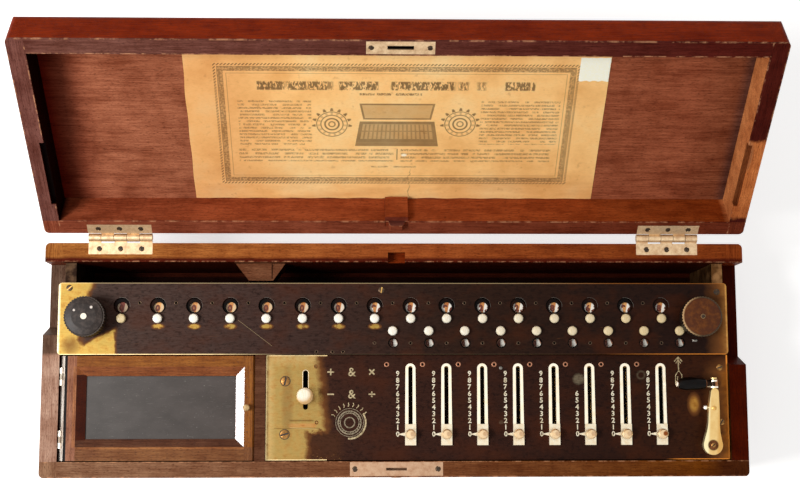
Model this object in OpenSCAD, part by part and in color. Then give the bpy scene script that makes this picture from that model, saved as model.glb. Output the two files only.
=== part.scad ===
// Arithmometer: a stepped drum calculating machine in a wooden case, lid open, carriage at home.
// Depths run back from the front face of the case and heights up from the plane of its rim.
// The part's origin is the centre of the underside of the case.

/* [Case] */
// Width of the case and of its lid
case_w = 590; // [590:1:594]
// Depth of the case from front face to rear face
case_d = 195.6; // [195.6:0.1:197]
// Height of the case from its underside to its rim
base_h = 95; // [88:1:120]
// Thickness of the side boards
side_t = 14.5; // [14:0.1:14.8]
// Thickness of the front board
front_t = 13.2; // [12:0.1:13.4]
// Thickness of the rear board
rear_t = 16; // [15:0.1:16.2]
// Thickness of the floor board
floor_t = 8; // [6:0.5:10]
// Depth of the notches in the side boards that let the carriage through
notch_z = 24; // [22:0.5:30]
// Radius of the upright corners of the case and the lid
corner_r = 4; // [2:0.5:6]

/* [Lid] */
// How far the lid stands open, measured from closed
lid_open = 129.8; // [100:0.1:130]
// Inside depth of the lid
lid_inner_h = 30; // [29:0.5:36]
// Thickness of the lid's side boards
lid_wall = 13.8; // [12:0.1:14]
// Thickness of the lid's top board
lid_top_t = 5.5; // [5:0.5:8]
// Distance of the hinge axis behind the rear face
hinge_out = 4.6; // [4.4:0.1:5]

/* [Registers] */
// Distance from one digit place to the next
pitch = 30.17; // [30.1:0.01:30.2]
// Place of the first input slot, right of the middle
first_slot_x = 11.9; // [11.5:0.1:12.5]
// Travel of a slider from 0 to 9
slider_travel = 50.4; // [48:0.1:50.4]
// Depth at which a slider's knob stands for 0
slider_zero_y = 35.3; // [35:0.1:35.5]
// Depth of the axes of the result dials
result_y = 131.5; // [131:0.1:132]
// Depth of the axes of the counter dials
counter_y = 121.1; // [120.8:0.1:121.4]
// Distance from a result dial's axis to its window
result_window_r = 10.8; // [10.6:0.1:11]
// Distance from a counter dial's axis to its window
counter_window_r = 9.9; // [9.8:0.1:10.2]

/* [Mechanism] */
// Height of the square shafts below the rim
square_shaft_z = -16.5; // [-16.6:0.1:-16.4]
// Teeth that would go round a whole drum, of which nine are cut
drum_pitch_teeth = 20; // [20:2:20]
// Pitch radius of a stepped drum
drum_r = 10.6; // [10.4:0.1:10.6]
// Teeth of the mitre gears
mitre_teeth = 12; // [12:4:12]
// Depth of the main shaft and of the crank behind the front face
main_shaft_y = 26; // [25.8:0.1:26.2]
// Place of the crank, right of the middle
crank_x = 262; // [261:0.1:262.5]

/* [Hidden] */
INPUTS = 8;
RESULTS = 16;
COUNTERS = 9;

$fn = 48;
glue_gap = 0.1;           // between boards that are separate pieces of one node
run_gap = 0.05;           // radial clearance of a shaft in its bearing
press_gap = 0.02;         // between pieces pressed or screwed tight together
through = 1;              // how far a cutter runs past a face
side_in = case_w / 2 - side_t;
wood = "#6e3a1c";
dark_wood = "#4a2523";
brass = "#b98a3c";
lacquer = "#2b1a16";
nickel = "#e8e2d0";
ivory = "#e8dcc0";
slate_grey = "#55504f";

// Hinges, lock and the lid's edge
hinge_spans = [[-259, -205.4], [204.2, 256.4]];
leaf_y = 186;
leaf_t = 1.3;
knuckles = 5;
knuckle_r = 3.4;
pin_r = 1.5;
screw_places = [0.17, 0.5, 0.83];
leaf_screw_y = 190.6;
lock_x = 38.6;
lock_y = [1.1, 12.5];
lock_t = 1.2;
lock_screw = [34.5, 6.8];
keeper_x = 26;
keeper_screw_x = 22.2;
lid_gap = 0.3;
lid_edge_r = 9;

// Slate lid
slate_x0 = -258.2;
slate_x1 = -134;
slate_y0 = 31.7;
slate_y1 = 83.9;
bevel_x0 = -266;
bevel_x1 = -126.6;
bevel_y0 = 25.1;
bevel_y1 = 91.7;
bevel_lip = -2.5;
frame_x0 = -280;
frame_x1 = -118.4;
ledge_z = -8.8;
slate_axis = [-278.8, -1.5];
slate_knuckle_r = 1.2;
slate_hinge_y = [24, 76];
slate_hinge_len = 15;

// Plates
plate_t = 3;
fixed_top = -4;
fixed_under = fixed_top - plate_t;
fixed_x0 = -109;
fixed_x1 = 280.2;
fixed_y0 = 14;
fixed_y1 = 101.2;
carriage_top = 3.7;
carriage_under = carriage_top - plate_t;
carriage_x0 = -282;
carriage_x1 = 279.4;
skirt_in = 3.4;
carriage_y0 = 101.5;
carriage_y1 = 161.5;
lower_plate_top = -4;
lower_plate_t = 2;

// Peg holes of the decimal markers
peg_r = 0.9;
small_peg_r = 0.7;
peg_depth = 2;
peg_dx = 10.2;
peg_y = 93.5;
result_peg_y = 144.6;
counter_peg_y = 111;
front_peg_y = 103.7;
front_peg_x = [-66.8, -53.4, -44.7];

// Windows of the dials: a countersunk recess, and in its floor an opening that stands off centre
window_floor = 1;
result_recess_r = 6.8;
result_opening_r = 4.3;
result_opening_at = [0.35, -1.2];
counter_recess_r = 4.5;
counter_recess_dx = 0.6;
counter_opening_r = 3.4;
counter_opening_at = [0.2, 0];

// Input slots and sliders
rail_w = 9.3;
rail_top_w = 8.4;
rail_y0 = 26.2;
rail_y1 = 94.3;
rail_top = -3.6;
groove_w = 3.6;
selector_x = -76;
selector_y = 67;

// Dials
button_r = 3.9;
button_base = 4.4;
spindle_r = 2;
neck_r = 1.6;
result_disc_r = 14.8;
result_disc_top = -0.2;
counter_disc_r = 13.4;
counter_disc_top = -2.2;
disc_t = 1.1;
left_knob_x = -257;
right_knob_x = 254;
zero_knob_y = 132;
zero_knob_r = 16.8;

// Drums and shafts
shaft_r = 3;
pinion_r = drum_r / 2;
main_z = square_shaft_z - drum_r - pinion_r;
tooth_step = slider_travel / 9;
drum_y0 = 38;
drum_y1 = 88.9;
square_w = 4.2;
journal_r = 2;
mitre_r = 8;
mitre_face = 3;
rod_y = 155;
rod_z = -15;
rod_r = 4;
lug_w = 12;
lug_x = [-262, -121, 20];

// Crank
arm_z0 = 7.2;
arm_z1 = 12.8;
arm_tip = [2.6, 43.5];
arm_tip_r = 3.3;
grip_z = 10;
yoke_y = 73.2;
yoke_len = 6.9;

function slot_x(i) = first_slot_x + pitch * i;
function result_x(k) = slot_x(k - (RESULTS - INPUTS));
function counter_x(k) = slot_x(k - 0.5);

// From depths behind the front face and heights above the rim to the part's own frame.
module bench() {
    translate([0, -case_d / 2, base_h]) children();
}

// Carries what is drawn on the closed lid to where the open lid stands.
module on_lid() {
    translate([0, case_d + hinge_out, 0]) rotate([-lid_open, 0, 0])
        translate([0, -case_d - hinge_out, 0]) children();
}

module box(low, high) {
    translate(low) cube(high - low);
}

// Flat outline with round corners, between two corners.
module round_rect(low, high, r) {
    translate(low + [r, 0]) square(high - low - [2 * r, 0]);
    translate(low + [0, r]) square(high - low - [0, 2 * r]);
    for (x = [low[0] + r, high[0] - r], y = [low[1] + r, high[1] - r]) translate([x, y]) circle(r);
}

// A slab with round upright corners.
module round_slab(low, high, r) {
    translate([0, 0, low[2]]) linear_extrude(high[2] - low[2])
        round_rect([low[0], low[1]], [high[0], high[1]], r);
}

// An outline drawn in depth and height, pushed through from x0 to x1.
module across(x0, x1) {
    translate([x0, 0, 0]) rotate([90, 0, 90]) linear_extrude(x1 - x0) children();
}

// A cylinder along the depth, from y0 to y1.
module along_y(x, z, y0, y1, r) {
    translate([x, y0, z]) rotate([-90, 0, 0]) cylinder(h = y1 - y0, r = r);
}

// A cylinder along the width, from x0 to x1.
module along_x(y, z, x0, x1, r) {
    translate([x0, y, z]) rotate([0, 90, 0]) cylinder(h = x1 - x0, r = r);
}

// Mitre gear with its pitch cone's tip at the origin and its back towards +Z. The first tooth
// stands at the given turn. Teeth run straight along the cone.
module mitre_gear(outer = mitre_r, face = mitre_face, teeth = mitre_teeth, hub = 0, turn = 0,
                  bore = shaft_r - 0.1) {
    root = 1.15 * outer / mitre_r;
    tip = 0.85 * outer / mitre_r;
    half_root_w = 0.72 * outer / mitre_r;
    half_tip_w = 0.34 * outer / mitre_r;
    slope = sqrt(0.5);
    mean = outer - face / 2;
    length = face * 1.32;
    difference() {
        union() {
            translate([0, 0, outer - face + root * slope])
                cylinder(h = face, r1 = outer - face - root * slope, r2 = outer - root * slope);
            if (hub > 0) translate([0, 0, outer]) cylinder(h = hub, r = outer * 0.68);
            for (k = [0:teeth - 1]) rotate([0, 0, turn + k * 360 / teeth])
                translate([mean, 0, mean]) rotate([0, -45, 0]) rotate([0, 90, 0])
                    translate([0, 0, -length / 2]) linear_extrude(length)
                        polygon([[-root - 0.3, -half_root_w], [-root - 0.3, half_root_w],
                                 [tip, half_tip_w], [tip, -half_tip_w]]);
        }
        if (bore > 0) translate([0, 0, -through]) cylinder(h = outer + hub + 4, r = bore);
    }
}

// Outline of a spur gear with straight-sided teeth.
module spur_outline(teeth, root_r, tip_r, root_w, tip_w) {
    circle(root_r);
    for (k = [0:teeth - 1]) rotate(360 / teeth * k)
        polygon([[root_r - 0.4, -root_w / 2], [tip_r, -tip_w / 2],
                 [tip_r, tip_w / 2], [root_r - 0.4, root_w / 2]]);
}

// Side board with its notch. Depth at which the notch starts at the rim and at its bottom.
module side_board(x0, x1, rim_y, low_y) {
    y0 = front_t + glue_gap;
    y1 = case_d - rear_t - glue_gap;
    z0 = floor_t - base_h + glue_gap;
    across(x0, x1) polygon([[y0, z0], [y1, z0], [y1, -notch_z], [low_y, -notch_z],
                            [rim_y, 0], [y0, 0]]);
}

module case_boards() {
    z0 = floor_t - base_h + glue_gap;
    low = [-case_w / 2, 0, z0];
    high = [case_w / 2, case_d, 0];
    color(dark_wood) bench() {
        // Front board with the beds of the lock plate and its bolt
        intersection() {
            round_slab(low, high, corner_r);
            difference() {
                box(low, [case_w / 2, front_t, 0]);
                box([-lock_x, lock_y[0], -lock_t], [lock_x, lock_y[1], through]);
                box([-10, 4.6, -9], [10, 8.8, 0]);
            }
        }
        // Rear board with the hinge beds and the notch for the lid's tongue
        intersection() {
            round_slab(low, high, corner_r);
            difference() {
                box([-case_w / 2, case_d - rear_t, z0], high);
                for (s = hinge_spans)
                    box([s[0], leaf_y, -leaf_t], [s[1], case_d + through, through]);
                box([-7, case_d - rear_t - through, -8], [7.5, 188, through]);
            }
        }
        side_board(-case_w / 2, -side_in, 118, 126);
        side_board(side_in, case_w / 2, 93, 101);
        // Floor
        round_slab([-case_w / 2, 0, -base_h], [case_w / 2, case_d, floor_t - base_h], corner_r);
        // Compartment: divider, back board and the ledges that the slate lid lies on
        box([-118, front_t + glue_gap, z0], [-109.2, 101.2, -0.3]);
        box([-side_in + glue_gap, 96, z0], [-118 - glue_gap, 101.2, -9]);
        box([-side_in + glue_gap, front_t + glue_gap, ledge_z - 5], [-274.4, 95.9, ledge_z]);
        box([-123, front_t + glue_gap, ledge_z - 5], [-118 - glue_gap, 95.9, ledge_z]);
        // Block glued into the gap behind the carriage
        translate([0, 0, -40]) linear_extrude(28)
            polygon([[-136.4, 179.5], [-94.3, 179.5], [-104.6, 165], [-125, 165]]);
        box([-122, 166.5, -12.5], [-105.8, 179.5, -10.8]);
    }
}

// Knuckles of one leaf: every second one, starting with the given one.
module hinge_knuckles(span, first, rise) {
    step = (span[1] - span[0]) / knuckles;
    for (k = [first:2:knuckles - 1]) {
        x0 = span[0] + k * step + 0.2;
        x1 = x0 + step - 0.4;
        along_x(case_d + hinge_out, 0, x0, x1, knuckle_r);
        box([x0, case_d - 1, rise], [x1, case_d + hinge_out, rise + leaf_t]);
    }
}

// Place of one third of a slate lid hinge along its axis: 0 and 2 are the case's, 1 the lid's.
function slate_third(y, n) = [y + n * slate_hinge_len / 3 + 0.15,
                              y + (n + 1) * slate_hinge_len / 3 - 0.15];

module case_hardware() {
    y_axis = case_d + hinge_out;
    color(brass) bench() {
        for (span = hinge_spans) {
            difference() {
                union() {
                    box([span[0], leaf_y, -leaf_t], [span[1], case_d, 0]);
                    hinge_knuckles(span, 0, -leaf_t);
                }
                along_x(y_axis, 0, span[0] - through, span[1] + through, pin_r);
                for (s = screw_places)
                    translate([span[0] + s * (span[1] - span[0]), leaf_screw_y, -0.9])
                        cylinder(h = 2, r1 = 1.4, r2 = 2.8);
            }
            along_x(y_axis, 0, span[0], span[1], pin_r - press_gap);
        }
        // Outer knuckles of the slate lid's hinges, with their pins
        for (y = slate_hinge_y) {
            for (n = [0, 2]) {
                ends = slate_third(y, n);
                along_y(slate_axis[0], slate_axis[1], ends[0], ends[1], slate_knuckle_r);
                box([glue_gap - side_in, ends[0], slate_axis[1] - 0.4],
                    [slate_axis[0], ends[1], slate_axis[1] + 0.4]);
            }
            along_y(slate_axis[0], slate_axis[1], y, y + slate_hinge_len, 0.5);
        }
        // Lock plate and lock box
        difference() {
            union() {
                box([-lock_x, lock_y[0], -lock_t], [lock_x, lock_y[1], 0]);
                box([-9.8, 4.8, -8.8], [9.8, 8.6, -lock_t]);
            }
            box([-8.6, 5.6, -7.6], [8.6, 7.8, through]);
            for (side = [-1, 1]) translate([side * lock_screw[0], lock_screw[1], -0.9])
                cylinder(h = 2, r1 = 1.3, r2 = 2.6);
        }
    }
}

// Outline of one rail, with its round rear end.
module rail_outline() {
    r = rail_top_w / 2;
    polygon([[-rail_w / 2, rail_y0], [rail_w / 2, rail_y0], [r, rail_y1 - r], [-r, rail_y1 - r]]);
    translate([0, rail_y1 - r]) circle(r);
}

module fixed_plate() {
    color(lacquer) bench() difference() {
        box([fixed_x0, fixed_y0, fixed_under], [fixed_x1, fixed_y1, fixed_top]);
        for (i = [0:INPUTS - 1]) translate([slot_x(i), 0, fixed_under - through])
            linear_extrude(plate_t + 2 * through) rail_outline();
        // Selector slot
        round_slab([selector_x - 2.05, 55.8, fixed_under - through],
                   [selector_x + 2.05, 88.5, 0], 2.04);
        // Bearing of the crank
        translate([crank_x, main_shaft_y, fixed_under - through]) cylinder(h = 5, r = 4 + run_gap);
        // Peg holes between the slots and beside the selector
        for (i = [-1:INPUTS - 2]) translate([slot_x(i) + peg_dx, peg_y, fixed_top - peg_depth])
            cylinder(h = 3, r = peg_r);
        translate([-67.4, 91.8, fixed_top - peg_depth]) cylinder(h = 3, r = small_peg_r);
    }
}

module slot_rails() {
    color(nickel) bench() for (i = [0:INPUTS - 1]) translate([slot_x(i), 0, 0]) difference() {
        translate([0, 0, fixed_under]) linear_extrude(rail_top - fixed_under) rail_outline();
        round_slab([-groove_w / 2, rail_y0 + 3.6, fixed_under - through],
                   [groove_w / 2, rail_y1 - 2.2, 0], 1.7);
    }
}

// Square shaft of one place, with round journals and its pair of mitre gears.
module transmission_shaft() {
    difference() {
        along_y(0, 0, 16.8, 90.7, square_w);
        for (a = [0:90:270]) rotate([0, a, 0])
            box([square_w / 2, 16, -9], [9, 92, 9]);
    }
    along_y(0, 0, 14, 16.9, journal_r);
    along_y(0, 0, 90.6, 146.6, journal_r);
    for (side = [-1, 1]) translate([0, result_y, 0]) rotate([-90 * side, 0, 0])
        mitre_gear(outer = 4.4, face = 1.7, teeth = 10, hub = 1.8, bore = journal_r - 0.1);
}

module bearing_frame() {
    bar_z = -50;
    color(brass) bench() {
        difference() {
            union() {
                // End plates with the seat of the rest rail
                for (x = [-106, 277]) across(x, x + 3)
                    polygon([[14, bar_z], [146, bar_z], [146, -12], [108, -12], [108, -10.2],
                             [102, -10.2], [102, fixed_under - 0.1], [14, fixed_under - 0.1]]);
                // Front bar, the two drum bars and the rear bar
                box([-103.5, 14, bar_z], [277.5, 16.5, fixed_under - 0.1]);
                box([-103.5, 35.2, bar_z], [277.5, 37.6, -25]);
                box([-103.5, 91, bar_z], [277.5, 94, fixed_under - 0.1]);
                box([-103.5, 143, bar_z], [277.5, 146, -12]);
                // Rest rail of the carriage
                box([-106, 103.5, -10.2], [280, 107.5, -6.4]);
                // Hangers of the main shaft
                for (x = [slot_x(0) - 18, slot_x(3.5)]) box([x - 1.5, 16, -40], [x + 1.5, 36, -25]);
            }
            along_x(main_shaft_y, main_z, -107, 281, shaft_r + run_gap);
            for (i = [0:INPUTS - 1]) {
                along_y(slot_x(i), main_z, 34, 96, shaft_r + run_gap);
                along_y(slot_x(i), square_shaft_z, 13, 17, journal_r + run_gap);
                along_y(slot_x(i), square_shaft_z, 90, 147, journal_r + run_gap);
            }
        }
        for (i = [0:INPUTS - 1]) translate([slot_x(i), 0, square_shaft_z]) transmission_shaft();
        // Brackets that hold the carriage rod at both ends of the case
        for (x = [-279.6, 270.4]) difference() {
            across(x, x + 9.2) polygon([[165, -86.8], [179.4, -86.8], [179.4, -9], [148, -9],
                                        [148, -22], [165, -30]]);
            along_x(rod_y, rod_z, x - through, x + 11, rod_r + run_gap);
        }
    }
}

module selector_knob() {
    color(ivory) bench() translate([selector_x, selector_y, 0]) {
        rotate_extrude() polygon([[0, -3.7], [5, -3.7], [5.6, -2.6], [4.4, 0.8], [6.2, 3.2],
                                  [7, 5.4], [6.6, 7], [5, 7.9], [0, 8]]);
        translate([0, 0, -9]) cylinder(h = 6, r = 1.8);
        box([-6, -4, -9.4], [6, 4, -7.5]);
    }
}

// One place of the input: cursor with its knob, pointer and fork, and the pinion that it shifts.
module digit_slider(i) {
    plate_z = rail_top + 0.3;
    color(nickel) bench() translate([slot_x(i - 1), slider_zero_y, 0]) {
        difference() {
            union() {
                box([-4.6, -9.1, plate_z], [4.6, 8.3, plate_z + 1.1]);
                translate([0, 0, plate_z + 1]) rotate_extrude()
                    polygon([[0, 0], [3.4, 0], [2.6, 1.6], [3.4, 2.6], [4.3, 3.6],
                             [4.3, 4.6], [3.2, 5.6], [0, 5.8]]);
                // Pointer to the row of figures
                translate([0, 0, plate_z]) linear_extrude(0.9)
                    polygon([[-4, -1.6], [-9.6, -0.3], [-9.6, 0.3], [-4, 1.6]]);
                box([-1.5, -2.4, -9], [1.5, 2.4, plate_z + 0.5]);
                box([-4.4, -3.9, -10.2], [4.4, 3.9, -8.4]);
                for (y = [-3.9, 2.4]) box([-4.4, y, -18.4], [4.4, y + 1.5, -8.4]);
            }
            box([-2.4, -6, -19], [2.4, 6, square_shaft_z + 2.4]);
        }
        // Pinion with its square bore
        translate([0, 2, square_shaft_z]) rotate([90, 0, 0]) linear_extrude(4) difference() {
            spur_outline(10, pinion_r - 1.3, pinion_r + 0.85, 2.1, 0.9);
            square(square_w + 0.3, center = true);
        }
    }
}

// Stepped drum: nine teeth, each one step of the slider shorter than the one before.
module stepped_drum(i) {
    root_r = drum_r - 1.3;
    tip_r = drum_r + 1.06;
    color(brass) bench() translate([slot_x(i - 1), 0, main_z]) {
        along_y(0, 0, main_shaft_y + 4.5, 94.5, shaft_r);
        along_y(0, 0, drum_y0, drum_y1, root_r);
        for (k = [1:9]) {
            y0 = slider_zero_y + tooth_step * k - 2.5;
            rotate([0, 180 + (k - 5) * 360 / drum_pitch_teeth, 0])
                translate([0, y0, 0]) rotate([-90, 0, 0]) linear_extrude(drum_y1 - y0)
                    polygon([[-1, -root_r + 0.3], [-0.5, -tip_r], [0.5, -tip_r],
                             [1, -root_r + 0.3]]);
        }
        translate([0, main_shaft_y, 0]) rotate([-90, 0, 0])
            mitre_gear(turn = 180 / mitre_teeth);
    }
}

module main_shaft() {
    color(brass) bench() {
        along_x(main_shaft_y, main_z, slot_x(0) - 21, 279.8, shaft_r);
        for (x = concat([for (i = [0:INPUTS - 1]) slot_x(i)], [crank_x]))
            translate([x, main_shaft_y, main_z]) rotate([0, -90, 0])
                mitre_gear(hub = 3.2);
    }
}

module crank_arm() {
    color(brass) bench() translate([crank_x, main_shaft_y, 0]) {
        difference() {
            translate([0, 0, arm_z0]) linear_extrude(arm_z1 - arm_z0) {
                circle(8);
                polygon([[-7.6, 2.4], [7.6, 2.4], [6.9, 6.4], [6.3, 10], [5.9, 16], [6.2, 28],
                         arm_tip + [arm_tip_r, 0], arm_tip - [arm_tip_r, 0], [-2.7, 30],
                         [-3.6, 18], [-4.8, 11.5], [-6.3, 7]]);
                translate(arm_tip) circle(arm_tip_r);
            }
            translate([0, 0, arm_z1 - 0.8]) difference() {
                cylinder(h = 2, r = 4);
                cylinder(h = 2, r = 2.6);
            }
        }
        translate([0, 0, arm_z1 - 0.9]) cylinder(h = 1.2, r = 2.5);
        translate([0, 0, fixed_top + 0.4]) cylinder(h = arm_z0 - fixed_top - 0.3, r = 5.4);
        translate([0, 0, main_z + 5]) cylinder(h = arm_z0 - main_z - 4, r = 4);
        translate([0, 0, main_z]) mitre_gear(hub = 3.2, turn = 180 / mitre_teeth, bore = 0);
        // Pin of the folding handle at the arm's end, and the small side stop
        translate([arm_tip[0], 0, 0]) {
            along_y(0, grip_z, arm_tip[1] + 2.4, arm_tip[1] + 11.2, 1.6);
            along_y(0, grip_z, arm_tip[1] + 11, arm_tip[1] + 12.2, 2.7);
        }
        along_x(31, grip_z, -4, 0, 0.8);
        translate([-5, 31, grip_z]) sphere(2);
    }
}

module crank_yoke() {
    x = crank_x + arm_tip[0];
    y = yoke_y + yoke_len / 2;
    color(nickel) bench() {
        difference() {
            union() {
                along_y(x, grip_z, yoke_y, yoke_y + yoke_len, 3.7);
                along_x(y, grip_z, x - 6.2, x - 1, 3);
            }
            along_y(x, grip_z, yoke_y - 1, yoke_y + 8, 1.6 + run_gap);
        }
        // Spindle of the grip with its riveted end
        along_x(y, grip_z, x - 30.4, x - 5, 1.4);
        along_x(y, grip_z, x - 31.4, x - 30.3, 2.4);
    }
}

module crank_grip() {
    color("#1c1210") bench()
        translate([crank_x + arm_tip[0] - 6.5, yoke_y + yoke_len / 2, grip_z])
        rotate([0, -90, 0]) rotate_extrude()
            polygon([[1.4 + run_gap, 0], [3.6, 0], [4.2, 1.2], [4.6, 4], [5.3, 9], [5.5, 14],
                     [5.2, 19], [4.2, 22.4], [3.2, 23.5], [1.4 + run_gap, 23.5]]);
}

// Lid board outline in depth and height: its top edges are rounded.
module lid_section() {
    r = lid_edge_r;
    z1 = lid_inner_h + lid_top_t;
    square([case_d, z1 - r]);
    translate([r, 0]) square([case_d - 2 * r, z1]);
    for (y = [r, case_d - r]) translate([y, z1 - r]) circle(r);
}

module lid_boards() {
    r = lid_edge_r;
    z0 = lid_gap;
    z1 = lid_inner_h;
    y0 = lid_wall;
    y1 = case_d - lid_wall;
    x1 = case_w / 2;
    color(wood) bench() on_lid() {
        intersection() {
            round_slab([-x1, 0, z0], [x1, case_d, z1 + 10], corner_r);
            across(-x1, x1) lid_section();
            translate([0, case_d, 0]) rotate([90, 0, 0]) linear_extrude(case_d) union() {
                translate([-x1, 0]) square([2 * x1, z1 + lid_top_t - r]);
                translate([r - x1, 0]) square([2 * (x1 - r), z1 + lid_top_t]);
                for (x = [r - x1, x1 - r]) translate([x, z1 + lid_top_t - r]) circle(r);
            }
            difference() {
                union() {
                    box([-x1, 0, z1], [x1, case_d, z1 + 10]);
                    box([-x1, 0, z0], [x1, y0, z1 - glue_gap]);
                    box([-x1, y1, z0], [x1, case_d, z1 - glue_gap]);
                    for (x = [-x1, x1 - lid_wall])
                        box([x, y0 + glue_gap, z0], [x + lid_wall, y1 - glue_gap, z1 - glue_gap]);
                }
                // Beds of the hinge leaves, the keeper plate and the tongue
                for (s = hinge_spans)
                    box([s[0], leaf_y, 0], [s[1], case_d + through, z0 + leaf_t]);
                box([-keeper_x, lock_y[0], 0], [keeper_x, lock_y[1], z0 + lock_t]);
                box([-9.7, y1 - 1, 0], [9.7, 187.1, 27.1]);
                // Rebates over the ends of the carriage
                for (side = [-1, 1]) box([side * (x1 - 12) - 1.8, 99, 0],
                                         [side * (x1 - 12) + 1.8, 164, 5.5]);
            }
        }
        // Tongue block: its narrow end drops into the notch of the rear board
        box([-9.6, 177.5, z0 + 0.7], [9.6, 187, 27]);
        translate([0, 187, 0]) rotate([90, 0, 0]) linear_extrude(5.6)
            polygon([[-7.2, 2], [-5.8, -3.4], [-4.6, -5], [4.6, -5], [5.8, -3.4], [7.2, 2]]);
    }
}

module lid_hardware() {
    y_axis = case_d + hinge_out;
    color(brass) bench() on_lid() {
        for (span = hinge_spans) difference() {
            union() {
                box([span[0], leaf_y, lid_gap], [span[1], case_d, lid_gap + leaf_t]);
                hinge_knuckles(span, 1, lid_gap);
            }
            along_x(y_axis, 0, span[0] - through, span[1] + through, pin_r + run_gap);
            for (s = screw_places)
                translate([span[0] + s * (span[1] - span[0]), leaf_screw_y, 1.2])
                    rotate([180, 0, 0]) cylinder(h = 2, r1 = 1.4, r2 = 2.8);
        }
        // Keeper plate of the lock
        difference() {
            box([-keeper_x, lock_y[0], lid_gap], [keeper_x, lock_y[1], lid_gap + lock_t]);
            box([-10, 5, 0], [10, 8.4, 2]);
            for (side = [-1, 1]) translate([side * keeper_screw_x, lock_screw[1], 1.2])
                rotate([180, 0, 0]) cylinder(h = 2, r1 = 1.3, r2 = 2.6);
        }
    }
}

module slate_frame() {
    top = -0.3;
    under = -8.5;
    color(dark_wood) bench() {
        difference() {
            box([frame_x0, 14, under], [frame_x1, 100.6, top]);
            box([slate_x0 + 3, slate_y0 + 3, -20], [slate_x1 - 3, slate_y1 - 3, 1]);
            box([slate_x0, slate_y0, under + 2.1], [slate_x1, slate_y1, 1]);
            // Bevels down to the slate, and chamfers along the left and right edges
            hull() {
                box([bevel_x0, bevel_y0, top], [bevel_x1, bevel_y1, 1]);
                box([slate_x0, slate_y0, bevel_lip], [slate_x1, slate_y1, 1]);
            }
            translate([frame_x0, 0, top]) rotate([0, 45, 0]) box([-3, 10, -3], [3, 110, 3]);
            translate([frame_x1, 0, top]) rotate([0, 45, 0]) box([-1, 10, -1], [1, 110, 1]);
        }
        // Middle knuckles of its hinges
        for (y = slate_hinge_y) {
            ends = slate_third(y, 1);
            difference() {
                union() {
                    along_y(slate_axis[0], slate_axis[1], ends[0], ends[1], slate_knuckle_r);
                    box([slate_axis[0], ends[0], slate_axis[1] - 1],
                        [slate_axis[0] + 3, ends[1], slate_axis[1] - 0.4]);
                }
                along_y(slate_axis[0], slate_axis[1], y, y + slate_hinge_len, 0.5 + run_gap);
            }
        }
        // Small turned knob near the right edge
        translate([-124.6, 57.5, top + 0.05]) rotate_extrude()
            polygon([[0, -1], [2.6, -1], [2.6, 0], [1.5, 0.8], [1.3, 2], [2.4, 3], [2.8, 4.2],
                     [2.2, 5.4], [0, 5.8]]);
    }
}

module slate_panel() {
    color(slate_grey) bench()
        box([slate_x0 + 0.1, slate_y0 + 0.1, -6.4], [slate_x1 - 0.1, slate_y1 - 0.1, -3.4]);
}

module carriage_rod() {
    color(nickel) bench() along_x(rod_y, rod_z, -279.5, 279.5, rod_r);
}

// Cutter of a window, from the underside of the carriage's plate.
module window(recess_r, opening_r, opening_at) {
    depth = plate_t - window_floor;
    translate([0, 0, window_floor]) cylinder(h = depth + 0.01, r1 = recess_r - 0.7, r2 = recess_r);
    translate([opening_at[0], opening_at[1], -through])
        cylinder(h = window_floor + 2 * through, r = opening_r);
}

module carriage_plate() {
    color(lacquer) bench() difference() {
        round_slab([carriage_x0, carriage_y0, carriage_under],
                   [carriage_x1, carriage_y1, carriage_top], 3);
        for (k = [0:RESULTS - 1]) translate([result_x(k), result_y, carriage_under]) {
            translate([0, 0, -1]) cylinder(h = 6, r = 2.4);
            translate([0, result_window_r, 0])
                window(result_recess_r, result_opening_r, result_opening_at);
        }
        for (k = [0:COUNTERS - 1]) translate([counter_x(k), counter_y, carriage_under]) {
            translate([0, 0, -1]) cylinder(h = 6, r = 2.4);
            translate([counter_recess_dx, -counter_window_r, 0])
                window(counter_recess_r, counter_opening_r, counter_opening_at);
        }
        // Peg holes of the decimal markers between the windows
        for (k = [0:RESULTS - 2])
            translate([slot_x(k - 7.5), result_peg_y, carriage_top - peg_depth])
                cylinder(h = 3, r = peg_r);
        for (k = [0:COUNTERS - 2])
            translate([slot_x(k), counter_peg_y, carriage_top - peg_depth])
                cylinder(h = 3, r = peg_r);
        for (x = front_peg_x) translate([x, front_peg_y, carriage_top - peg_depth])
            cylinder(h = 3, r = small_peg_r);
        for (x = [left_knob_x, right_knob_x]) translate([x, zero_knob_y, -1])
            cylinder(h = 6, r = 3.3);
    }
}

module carriage_frame() {
    z0 = lower_plate_top - lower_plate_t;
    z1 = carriage_under - press_gap;
    x0 = carriage_x0 + skirt_in;
    x1 = carriage_x1 - skirt_in;
    color(brass) bench() difference() {
        union() {
            box([x0, 102.2, z0], [x1, 159, lower_plate_top]);
            // Skirts between the two plates
            box([x0, 102.2, z0], [x1, 104.2, z1]);
            box([x0, 157, z0], [x1, 159, z1]);
            for (x = [x0, x1 - 2]) box([x, 102.2, z0], [x + 2, 159, z1]);
            // Lugs that run on the rod
            for (x = lug_x) across(x - lug_w / 2, x + lug_w / 2)
                polygon([[148.6, z0 + 1], [159, z0 + 1], [160.6, rod_z], [158, rod_z - 4.6],
                         [152, rod_z - 4.6], [149.4, rod_z]]);
        }
        for (k = [0:RESULTS - 1]) translate([result_x(k), result_y, z0 - 1])
            cylinder(h = 5, r = spindle_r + run_gap);
        for (k = [0:COUNTERS - 1]) translate([counter_x(k), counter_y, z0 - 1])
            cylinder(h = 5, r = spindle_r + run_gap);
        for (x = [left_knob_x, right_knob_x]) translate([x, zero_knob_y, z0 - 1])
            cylinder(h = 5, r = 3 + run_gap);
        along_x(rod_y, rod_z, -300, 100, rod_r + run_gap);
    }
}

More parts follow.
